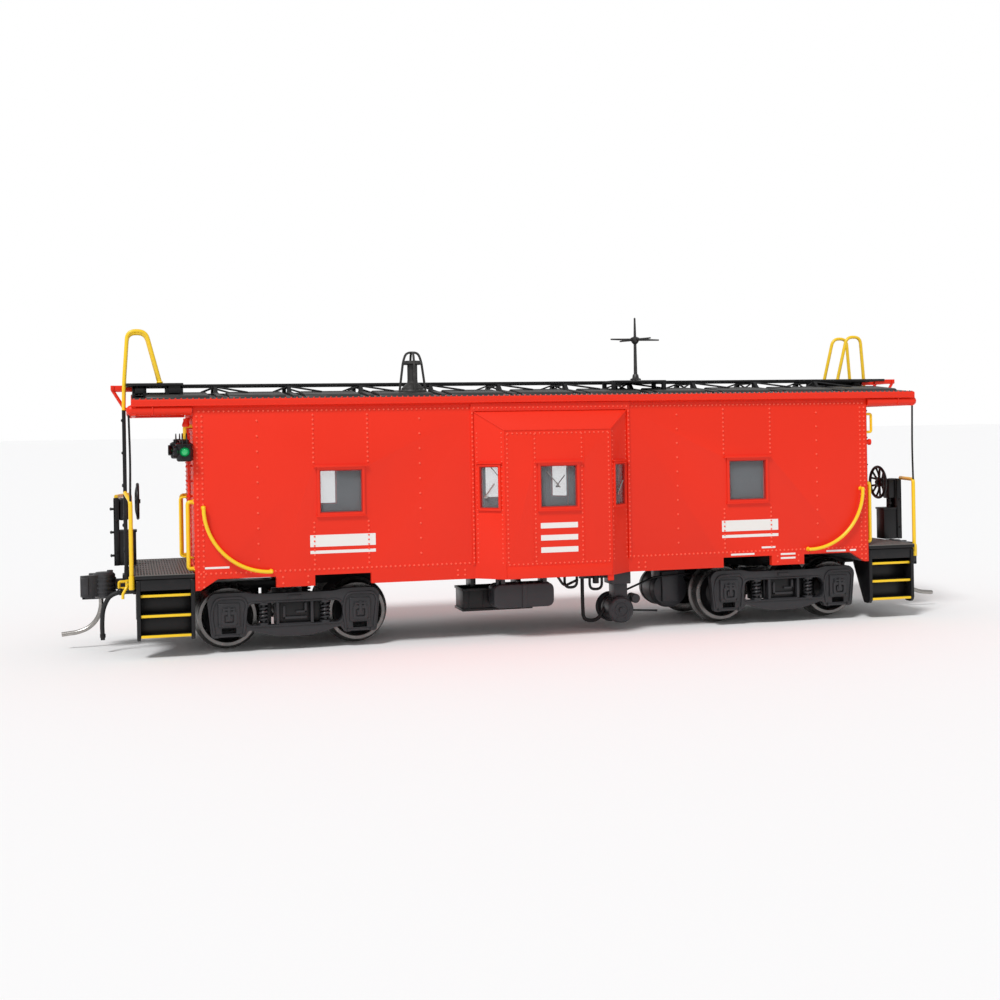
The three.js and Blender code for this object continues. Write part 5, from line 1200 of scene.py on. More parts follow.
# ---- Ends --------------------------------------------------------------------------------
@dataclass(frozen=True)
class Ends:
    """The end platforms with their steps, railings, ladders, brakes, lamps and hoses."""

    rail: float = 0.33
    grab: float = 0.3
    thin: float = 0.17
    ladder_y: float = 4.2
    ladder_wide: float = 5.4
    rung_pitch: float = 5.2
    loop_top: float = 51.6
    brake_y: float = 3.8
    wheel_radius: float = 3.1

    def build(self) -> None:
        """Builds every piece of both ends."""
        for label, move in (("right", AS_BUILT), ("left", MIRROR_X)):
            self.platform().moved(move).publish("platform_" + label, "carbody", PAINT.black,
                                                PAINT.deck, replaces=["end_platform_" + label])
        for corner in Corner:
            self.corner(corner)
        for label, move in (("right", MIRROR_Y), ("left", MIRROR_X)):
            self.ladder().moved(move).publish("ladder_" + label, "carbody", PAINT.black,
                                              PAINT.yellow, replaces=["end_ladder_" + label])
            self.lever().moved(move).publish("lever_" + label, "carbody", PAINT.yellow,
                                             replaces=["uncoupling_lever_" + label])
        for label, move in (("right", AS_BUILT), ("left", HALF_TURN)):
            self.brake_stand().moved(move).publish("brake_column_" + label, "carbody", PAINT.black,
                                                   replaces=["brake_stand_" + label])
            self.brake_wheel().moved(move).publish("brake_handwheel_" + label, "carbody",
                                                   PAINT.black, replaces=["brake_wheel_" + label])
            self.hose().moved(move).publish("train_hose_" + label, "carbody", PAINT.rubber,
                                            PAINT.black, replaces=["air_hose_" + label])
        for label, move in (("near", AS_BUILT), ("far", MIRROR_Y)):
            self.lamp().moved(move).publish("signal_lamp_" + label, "carbody", PAINT.black,
                                            PAINT.green, replaces=["marker_lamp_" + label])

    def corner(self, corner: Corner) -> None:
        """Builds the steps, railing, grab iron and handrail of one corner."""
        by_ladder = corner in (Corner.RIGHT_FAR, Corner.LEFT_NEAR)
        inner = (CAR.beam + 0.45, -self.ladder_y - self.ladder_wide - 0.8, CAR.deck + 12.7)
        if not by_ladder:
            inner = (CAR.beam + 2, -self.brake_y - 2, CAR.deck + 11.5)
        name = corner.label
        self.steps().moved(corner.move).publish("step_unit_" + name, "carbody", PAINT.black,
                                                PAINT.yellow, replaces=["steps_" + name])
        self.railing(inner).moved(corner.move).publish(
            "corner_rail_" + name, "carbody", PAINT.yellow, PAINT.black,
            replaces=["railing_" + name])
        self.curved_grab().moved(corner.move).publish(
            "side_grab_" + name, "carbody", PAINT.yellow, replaces=["curved_grab_" + name])
        self.handrail().moved(corner.move).publish(
            "end_handrail_" + name, "carbody", PAINT.yellow, replaces=["corner_handrail_" + name])

    def platform(self) -> Shape:
        """Returns the right end's deck, with raised grating bars and its beam."""
        x0, x1, x2 = CAR.end + 0.1, CAR.deck_end, CAR.beam
        side, deck = CAR.side, CAR.deck
        shape = Shape().box((x0, -side, deck - 0.7), (x1, side, deck - 0.14), 0.05)
        beam = [(-13.6, CAR.sill + 0.1), (-2.7, CAR.sill + 0.1), (-2.7, deck - 0.9), (2.7, deck - 0.9),
                (2.7, CAR.sill + 0.1), (13.6, CAR.sill + 0.1), (13.6, deck - 0.1), (-13.6, deck - 0.1)]
        shape.plate(beam, Plane.YZ, x1 - 0.1, x2, 0.08)
        shape.rivets([(x2, sign * y, z) for sign in (-1, 1) for y in spread(3.4, 13, 1.2)
                      for z in (CAR.sill + 0.6, deck - 0.6)], (1, 0, 0), 0.14)
        shape.in_paint(1)
        for x in spread(x0 + 0.25, x1 - 0.3, 0.46):
            shape.box((x - 0.13, -side + 0.05, deck - 0.2), (x + 0.13, side - 0.05, deck), 0.04, 1)
        for y in spread(-side + 0.12, side - 0.12, 3.72):
            shape.box((x0, y - 0.1, deck - 0.2), (x1, y + 0.1, deck - 0.03), 0.03, 1)
        return shape

    def steps(self) -> Shape:
        """Returns the near right step unit: stringers, treads with yellow edges and risers."""
        x0, x1 = CAR.end + 0.1, CAR.roof_end - 0.3
        y0, y1 = -CAR.side, -CAR.side + 6
        top, foot, stringer = CAR.deck - 0.8, 2.8, 0.6
        line = eased([(y0, top), (y0, foot + 0.6), (y0 + 0.5, foot), (y0 + 2.2, foot), (y1, top - 2.6),
                      (y1, top)], 0.4, 3, closed=True)
        shape = Shape()
        for x in (x0, x1 - stringer):
            shape.plate(line, Plane.YZ, x, x + stringer, 0.08)
        levels = [3.75 + i * (CAR.deck - 3.75) / 3 for i in range(3)]
        for i, z in enumerate(levels):
            last = i == 2
            front = y0 + 0.1 + 0.2 * i
            shape.in_paint(0)
            shape.box((x0 + 0.3, front + 0.2, z - 0.4), (x1 - 0.3, y0 + 2.3 + i, z - 0.04), 0.05)
            for y in spread(front + 0.55, y0 + 2.0 + i, 0.4):
                shape.box((x0 + 0.7, y - 0.08, z - 0.1), (x1 - 0.7, y + 0.08, z), 0.02, 1)
            over = top if last else levels[i + 1] - 0.55
            shape.box((x0 + 0.3, y0 + 1.95 + i, z - 0.1), (x1 - 0.3, y0 + 2.25 + i, over), 0.05)
            shape.in_paint(1)
            shape.box((x0 + stringer + 0.03, front - 0.06, z - 0.42),
                      (x1 - stringer - 0.03, front + 0.3, z), 0.07)
        shape.in_paint(0)
        shape.box((x0 + 0.3, y0 + 0.15, top - 1.7), (x1 - 0.3, y0 + 0.45, top), 0.06)
        shape.rivets([(x, y0, z) for x in (x0 + 0.3, x1 - 0.3) for z in levels], (0, -1, 0), 0.15)
        return shape

    def railing(self, inner: Point) -> Shape:
        """Returns the near right corner post and rail, and the thin dark stay above it.

        Args:
            inner: Where the rail ends, at the ladder or the brake column.

        Returns:
            The railing.
        """
        x, y, top = CAR.deck_end + 0.48, -CAR.side + 0.92, CAR.deck + 11.5
        shape = Shape().wire([(x, y, CAR.sill + 0.7), (x, y, top), inner], self.rail, 0.7, sides=12)
        shape.rod((x, y, CAR.sill + 0.5), (x, y, CAR.deck - 0.2), self.rail + 0.12, 12, bevel=0.06)
        shape.in_paint(1)
        shape.wire([(x, y, top), (x - 0.1, y, top + 6), (x + 0.05, y, CAR.eave_low + 0.9)],
                   self.thin, 2.5)
        shape.box((CAR.roof_end + 0.02, y - 0.35, CAR.eave_low + 0.5),
                  (x + 0.25, y + 0.35, CAR.eave_low + 1.1), 0.08)
        return shape

    def ladder(self) -> Shape:
        """Returns the near right ladder, dark below the roof and yellow where it loops over it."""
        x, low, join = CAR.beam + 0.45, CAR.deck - 0.6, CAR.eave_low + 1.1
        inward, radius = CAR.roof_end - 4.5, 0.33
        shape = Shape()
        for y in (-self.ladder_y, -self.ladder_y - self.ladder_wide):
            shape.in_paint(0)
            shape.box((x - 0.3, y - 0.22, low), (x + 0.3, y + 0.22, join), 0.1)
            shape.in_paint(1)
            shape.wire([(x, y, join - 0.1), (x - 0.1, y, CAR.walk_top), (x - 0.75, y, self.loop_top),
                        (x - 3.6, y, self.loop_top), (inward - 0.05, y, CAR.walk_top + 0.1)],
                       radius - 0.02, 2.2, sides=12)
            shape.ball((inward, y, CAR.walk_top + 0.15), 0.5, 0.5)
        shape.in_paint(0)
        top_rung = CAR.eave_low - 0.6
        for i in range(int((top_rung - CAR.deck) / self.rung_pitch) + 1):
            z = top_rung - i * self.rung_pitch
            ends = (-self.ladder_y - self.ladder_wide, -self.ladder_y)
            shape.wire([(x, ends[0] - 0.3, z), (x, ends[1] + 0.3, z)], 0.23)
            shape.rivets([(x + 0.28, y, z) for y in ends], (1, 0, 0), 0.26)
        for y in (-self.ladder_y, -self.ladder_y - self.ladder_wide):
            shape.box((CAR.beam + 0.02, y - 0.4, CAR.deck - 0.7), (x + 0.35, y + 0.4, CAR.deck + 0.5), 0.08)
        return shape

    def curved_grab(self) -> Shape:
        """Returns the near right grab iron, a quarter round down to the sill, on two bolts."""
        radius, y = 10.4, -CAR.side - 0.85
        cx, cz = CAR.end - radius - 1.4, CAR.sill + radius + 2.6
        arc = [(cx + radius * math.cos(a), y, cz - radius * math.sin(a))
               for a in spread(0, math.pi / 2, 0.08)]
        shape = Shape()
        ends = [(x, -CAR.side, z) for x, _, z in (arc[0], arc[-1])]
        shape.wire([ends[0], *arc, ends[1]], self.grab, sides=12)
        shape.ball(arc[0], self.grab).ball(arc[-1], self.grab)
        shape.rivets([(x, wall - 0.02, z) for x, wall, z in ends], (0, -1, 0), 0.42)
        return shape

    def handrail(self) -> Shape:
        """Returns the near right handrail on the end wall."""
        wall, x, y = CAR.end, CAR.end + 0.95, -CAR.side + 1.1
        low, high = CAR.deck + 0.6, CAR.deck + 11.1
        shape = Shape().wire([(wall, y, high), (x, y, high), (x, y, low), (wall, y, low)], self.rail,
                             0.6, sides=12)
        shape.rivets([(wall, y, z) for z in (low, high)], (1, 0, 0), 0.5)
        return shape

    def brake_stand(self) -> Shape:
        """Returns the near right brake column: a channel with its gear case and chain box."""
        y, x, low = -self.brake_y, CAR.beam + 1.5, CAR.deck + 0.12
        top = low + 11.2
        shape = Shape().box((x + 0.65, y - 1.6, low), (x + 0.9, y + 1.6, top), 0.06)
        for sign in (-1, 1):
            shape.box((x, y + sign * 1.47 - 0.13, low), (x + 0.9, y + sign * 1.47 + 0.13, top), 0.06)
            for z in (low + 2.2, low + 7.4):
                shape.rivets([(x + 0.45, y + sign * 1.6, z)], (0, sign, 0), 0.26)
        for z in spread(low + 1.6, low + 9.4, 3.9):
            shape.rod((x + 0.85, y, z), (x + 1.35, y, z), 0.2, 10, bevel=0.05)
            shape.rivets([(x + 1.3, y, z)], (1, 0, 0), 0.32)
        shape.box((x - 2.7, y - 1.4, low), (x + 0.05, y + 1.4, low + 5.8), 0.12)
        shape.box((x - 2.85, y - 1.5, low + 5.5), (x + 0.05, y + 1.5, low + 5.85), 0.08)
        shape.box((x - 1.5, y - 1.1, top - 3.7), (x + 0.05, y + 1.1, top), 0.3, 3)
        shape.turned([(0, -0.2), (0.95, -0.2), (0.95, 0.15), (0.6, 0.35), (0.55, 0.8), (0, 0.8)],
                     (CAR.beam - 0.35, y, top - 0.6), Axis.X, 24)
        for dy, radius in ((0.6, 0.16), (0.05, 0.12), (-0.5, 0.16)):
            shape.wire([(x - 0.8, y + dy, top - 3.5), (x - 0.9, y + dy * 0.8, low + 5.7)], radius)
        shape.ball((x - 0.9, y - 0.5, top - 4.6), 0.42)
        return shape

    def brake_wheel(self) -> Shape:
        """Returns the near right handwheel: a round rim, six forked spokes and a nut."""
        x, y, z = CAR.beam - 1.55, -self.brake_y, CAR.deck + 10.7
        rim = self.wheel_radius - 0.25
        shape = Shape().ring((x, y, z), Axis.X, rim, 0.27, 56, 12)
        for i in range(6):
            angle = math.radians(30 + 60 * i)
            out = Vector((0, math.cos(angle), math.sin(angle)))
            side = Vector((0, -math.sin(angle), math.cos(angle)))
            hub, far = Vector((x + 0.3, y, z)), Vector((x, y, z)) + out * rim
            for lean in (-0.5, 0.5):
                shape.wire([hub, hub + out * 1.5 + side * lean * 0.3, far + side * lean * 1.5], 0.2, 0.5,
                           sides=8)
        shape.turned([(0, -0.45), (0.35, -0.45), (0.4, -0.1), (0.95, 0.05), (0.95, 0.35), (0.5, 0.5),
                      (0, 0.5)], (x, y, z), Axis.X, 28)
        return shape

    def hose(self) -> Shape:
        """Returns the right end's hose: its angle cock, the rubber and a gladhand."""
        x, y, z = CAR.beam, 5.6, CAR.sill - 0.6
        path = eased([(x + 1.5, y, z), (x + 3.2, y, z - 0.6), (x + 4.2, y - 0.1, z - 2.6),
                      (x + 4.4, y - 0.3, z - 5.2), (x + 4.3, y - 0.4, z - 7.6)], 1.6, 6)
        shape = Shape().wire(path, 0.36, sides=12)
        shape.in_paint(1)
        shape.rod((x - 2.5, y, z), (x + 1.5, y, z), 0.42, 16, bevel=0.06)
        shape.ball((x + 1.45, y, z), 0.58)
        shape.rod((x + 0.5, y - 0.9, z + 0.1), (x + 0.5, y + 0.4, z + 0.1), 0.18, 10)
        shape.box((x - 1.1, y - 0.3, z - 0.5), (x - 0.5, y + 0.3, z + 0.6), 0.08)
        tip = Vector(path[-1])
        shape.rod(tip + Vector((0, 0, 0.9)), tip + Vector((0, 0, 0.3)), 0.46, 14, bevel=0.05)
        shape.box(tip + Vector((-0.35, -0.2, -0.1)), tip + Vector((0.35, 0.3, 0.4)), 0.1)
        return shape

    def lever(self) -> Shape:
        """Returns the near right uncoupling lever: a bent wire across the beam."""
        x, z, y = CAR.beam + 0.35, CAR.sill + 0.9, -4.5
        shape = Shape().wire([(x, y, z), (x, -12.5, z), (x + 0.7, -12.7, z - 1.2),
                              (x + 0.7, -12.7, z - 1.9)], 0.24, 0.5)
        shape.wire([(x, y, z), (x + 1.3, y, z), (x + 1.3, y, z - 1.1), (x, y, z - 1.1)], 0.24, 0.3,
                   closed=True)
        for at in (-5.6, -11.4):
            shape.box((CAR.beam + 0.02, at - 0.25, z - 0.4), (x + 0.3, at + 0.25, z + 0.4), 0.07)
        return shape

    def lamp(self) -> Shape:
        """Returns the near signal lamp: a drum with hooded lenses, a vent cap and a bail."""
        middle = node_middle("marker_lamp_near")
        x, y, z = -CAR.end - 1.35, -CAR.side - 0.2, middle.z - 0.8
        shape = Shape().turned(
            [(0, -1.5), (1.0, -1.5), (1.2, -1.35), (1.25, -1.1), (1.25, 0.9), (1.35, 1.0), (1.35, 1.2),
             (0.95, 1.45), (0.75, 1.5), (0.75, 1.75), (0.9, 1.8), (0.55, 1.95), (0, 2.0)],
            (x, y, z), Axis.Z, 32)
        for dx, dy in ((-1, 0), (0, 1), (0, -1)):
            out = Vector((dx, dy, 0))
            mouth = Vector((x, y, z)) + out * 1.25
            turn = Matrix.Translation(mouth) @ out.to_track_quat("Z", "Y").to_matrix().to_4x4()
            hood = Shape().turned([(0.72, -0.2), (0.88, -0.2), (0.95, 0.1), (0.9, 0.42), (0.8, 0.42),
                                   (0.74, 0.1)], (0, 0, 0), Axis.Z, 28, closed=True)
            lens = Shape().in_paint(1)
            lens.turned([(0, 0.32), (0.35, 0.27), (0.62, 0.1), (0.74, -0.1), (0.74, -0.3), (0, -0.3)],
                        (0, 0, 0), Axis.Z, 24)
            shape.add(hood, turn).add(lens, turn)
        shape.in_paint(0)
        stem = -CAR.side + 0.8
        shape.rod((-CAR.end - 0.05, stem, z - 0.6), (x, stem, z - 0.6), 0.38, 14)
        shape.box((-CAR.end - 0.6, stem - 0.6, z - 1.3), (-CAR.end - 0.05, stem + 0.5, z + 0.2), 0.12)
        for dx in (-0.3, 0.35):
            shape.wire([(x + dx, y - 1.2, z + 0.6), (x + dx, y - 1.35, z + 2.0), (x + dx, y, z + 3.1),
                        (x + dx, y + 1.35, z + 2.0), (x + dx, y + 1.2, z + 0.6)], 0.1, 1.2, sides=8)
        return shape


# ---- Under the floor ---------------------------------------------------------------------
@dataclass(frozen=True)
class Underside:
    """The underframe and the boxes, tank, generator, reservoir and pipes that hang from it."""

    def build(self) -> None:
        """Builds every piece under the floor."""
        Shape.from_node("underframe", 0.06).publish("underframe_finished", "carbody", PAINT.black,
                                                    replaces=["underframe"])
        self.battery_box()
        self.tank()
        self.generator()
        self.reservoir()
        self.pipes()
        for side in ("left", "right"):
            self.screw(side)
        Shape.from_node("floor_weight", 0.15).publish("floor_weight_finished", "carbody",
                                                      PAINT.steel, replaces=["floor_weight"])

    def battery_box(self) -> None:
        """Adds the battery box with its lipped lid, hangers and latches."""
        low, high = node_box("battery_box")
        roof = 8.1
        shape = Shape().box((low.x + 0.2, low.y + 0.2, low.z + 0.2), (high.x - 0.2, high.y - 0.2, roof), 0.12)
        shape.box((low.x, low.y, low.z), (high.x, high.y, low.z + 0.45), 0.1)
        shape.box((low.x, low.y, roof - 0.45), (high.x, high.y, roof), 0.1)
        for x in (low.x + 2.3, high.x - 2.1):
            shape.box((x - 0.4, low.y + 1.2, roof - 0.2), (x + 0.4, high.y - 0.8, high.z), 0.08)
        for x in spread(low.x + 1.2, high.x - 1.2, 2.5):
            shape.box((x - 0.12, low.y + 0.05, low.z + 0.4), (x + 0.12, low.y + 0.3, roof - 0.4), 0.04)
        shape.rivets([(x, low.y, roof - 0.22) for x in spread(low.x + 0.6, high.x - 0.6, 1.3)],
                     (0, -1, 0), 0.13)
        shape.publish("battery_box_finished", "carbody", PAINT.black, replaces=["battery_box"])

    def tank(self) -> None:
        """Adds the fuel tank: a drawn shell with seams, a strap, straps' bolts and a filler."""
        low, high = node_box("fuel_tank")
        x0, x1, y0, y1, z0, z1 = low.x, high.x, low.y + 0.2, high.y - 0.1, low.z + 0.1, 9.0
        line = eased([(x0, z0), (x1, z0), (x1, z1), (x0, z1)], 1.3, 8, closed=True)
        shape = Shape().plate(line, Plane.XZ, y0, y1, 0.22, segments=3)
        seam = eased([(x0 - 0.1, z0 - 0.1), (x1 + 0.1, z0 - 0.1), (x1 + 0.1, z1 + 0.1),
                      (x0 - 0.1, z1 + 0.1)], 1.35, 8, closed=True)
        shape.plate([(max(low.x, min(high.x, u)), v) for u, v in seam], Plane.XZ, y0 + 1.9, y0 + 2.1,
                    0.05)
        middle = (x0 + x1) / 2
        strap = eased([(y0 - 0.18, z0 - 0.1), (y1 + 0.1, z0 - 0.1), (y1 + 0.1, z1 + 0.14),
                       (y0 - 0.18, z1 + 0.14)], 0.5, 4, closed=True)
        shape.plate(strap, Plane.YZ, middle - 0.35, middle + 0.35, 0.05)
        for x in (x0 + 1.7, x1 - 1.5):
            shape.box((x - 0.35, y0 + 0.3, z1 - 0.1), (x + 0.35, y1 - 0.4, high.z), 0.08)
        shape.rod((x0 + 0.9, y0 + 0.9, z1 - 0.3), (x0 - 0.1 + 0.9, y0 + 0.9, high.z), 0.32, 14)
        shape.publish("fuel_tank_finished", "carbody", PAINT.tank, replaces=["fuel_tank"])

    def generator(self) -> None:
        """Adds the generator: a drum with ringed ends, its pulley, bracket, lead and belt."""
        x, z = 13.2, 3.5
        top = CAR.sill
        shape = Shape().turned(
            [(0, -11.75), (0.45, -11.75), (0.5, -11.6), (0.5, -11.5), (1.0, -11.5), (1.05, -11.58),
             (1.2, -11.58), (1.25, -11.5), (1.95, -11.5), (2.25, -11.3), (2.3, -11.0), (2.3, -10.2),
             (2.22, -10.1), (2.22, -8.1), (2.3, -8.0), (2.3, -7.2), (2.1, -6.95), (0.8, -6.8), (0.8, -6.2),
             (2.5, -6.2), (2.6, -6.1), (2.4, -5.65), (2.6, -5.2), (2.5, -5.1), (0, -5.1)],
            (x, 0, z), Axis.Y, 56)
        shape.rivets([(x + 1.6 * math.cos(a), -11.5, z + 1.6 * math.sin(a))
                      for a in spread(0, 2 * math.pi * 5 / 6, math.pi / 3)], (0, -1, 0), 0.14)
        shape.box((x - 0.9, -10.5, z + 1.6), (x + 1.5, -7.5, 8.2), 0.15)
        shape.box((x - 1.6, -10.9, 7.9), (x + 2, -7.1, top), 0.12)
        shape.turned([(0, -10.3), (0.7, -10.3), (0.8, -10.2), (0.8, -7.8), (0.7, -7.7), (0, -7.7)],
                     (x + 3.1, 0, 5.2), Axis.Y, 28)
        shape.box((x + 1, -9.6, 4.8), (x + 3.1, -8.4, 5.6), 0.12)
        shape.box((6.6, -9.1, 8.9), (12.4, -8.1, top), 0.1)
        shape.wire([(x + 2.3, -5.6, 2.7), (x + 8.8, -5.6, 2.3)], 0.18)
        shape.in_paint(1)
        shape.wire([(7.1, -8.6, top), (7.1, -8.6, 5.2), (7.2, -8.6, 1.7), (9.8, -8.6, 1.5),
                    (11.5, -8.6, 4.2)], 0.32, 2.1, sides=12)
        shape.publish("axle_generator_finished", "carbody", PAINT.tank, PAINT.rubber,
                      replaces=["axle_generator"])

    def reservoir(self) -> None:
        """Adds the air reservoir: a riveted drum in straps, with the plate in front of it."""
        low, high = node_box("air_reservoir")
        x0, x1, z0, z1, y0, y1 = low.x, high.x, low.z, 9.2, low.y + 0.6, high.y
        cx, cz, half = (x0 + x1) / 2, (z0 + z1) / 2, (z1 - z0) / 2
        shape = Shape().turned([(0, y0), (half * 0.6, y0 + 0.12), (half * 0.95, y0 + 0.5),
                                (half, y0 + 1), (half, y1 - 1), (half * 0.95, y1 - 0.5),
                                (half * 0.6, y1 - 0.12), (0, y1)], (cx, 0, cz), Axis.Y, 48)
        for y in (y0 + 2.1, y1 - 2.1):
            shape.ring((cx, y, cz), Axis.Y, half - 0.05, 0.16, 48, 8)
        shape.box((x0 + 1.6, low.y, z0 + 1.2), (x0 + 4.6, y0 + 0.2, z1), 0.1)
        shape.box((x0 + 0.6, y0 + 0.6, z1 - 1.2), (x1 - 0.6, y0 + 2.4, high.z), 0.1)
        shape.publish("air_reservoir_finished", "carbody", PAINT.tank, replaces=["air_reservoir"])

    def pipes(self) -> None:
        """Adds the brake pipe, its hoops and the rods that run under the floor."""
        top = CAR.sill + 0.2
        shape = Shape()
        for x, drop in ((4.4, 2.9), (8.9, 3.4)):
            shape.wire([(x - 1.1, -10.6, top), (x - 1.1, -10.6, top - drop), (x + 1.1, -10.6, top - drop),
                        (x + 1.1, -10.6, top)], 0.24, 1.1)
        shape.wire([(1.4, -11.4, top - 0.2), (3.0, -11.2, top - 2.6), (5.6, -10.8, top - 1.6)], 0.22, 0.8)
        shape.rod((8.9, -10.6, top - 2.4), (8.9, -10.6, top - 0.4), 0.55, 18, bevel=0.1)
        for y, z in ((-4.2, 9.75), (4.6, 9.6)):
            shape.wire([(-30, y, z), (30, y, z)], 0.28)
        shape.wire([(15, -8.8, 6.6), (21, -6.8, 8.4), (30, -6, 8.8)], 0.18, 1)
        for x in (-24, -12, 12, 24):
            shape.box((x - 0.25, -4.6, 9.4), (x + 0.25, 5.0, CAR.sill + 0.3), 0.06)
        shape.publish("brake_pipes", "carbody", PAINT.black)
        tab = Shape().box((8.4, -CAR.bay_front + 0.1, CAR.sill - 0.9),
                          (9.4, -CAR.bay_front + 0.5, CAR.sill + 0.2), 0.06)
        both = Shape().add(tab).add(tab, HALF_TURN)
        both.publish("bay_tabs", "carbody", PAINT.body)

    def screw(self, side: str) -> None:
        """Adds a truck's screw with a slotted pan head."""
        low, high = node_box("truck_screw_" + side)
        x = node_middle("truck_screw_" + side).x
        shape = Shape().turned([(0, low.z), (1.5, low.z), (1.85, low.z + 0.25), (1.9, low.z + 0.8),
                                (0.9, low.z + 0.8), (0.9, high.z - 0.2), (0.7, high.z), (0, high.z)],
                               (x, 0, 0), Axis.Z, 32)
        shape.publish("screw_" + side, "carbody", PAINT.steel, replaces=["truck_screw_" + side])


# ---- Trucks ------------------------------------------------------------------------------
TRUCK_X = node_middle("truck_bolster_right").x


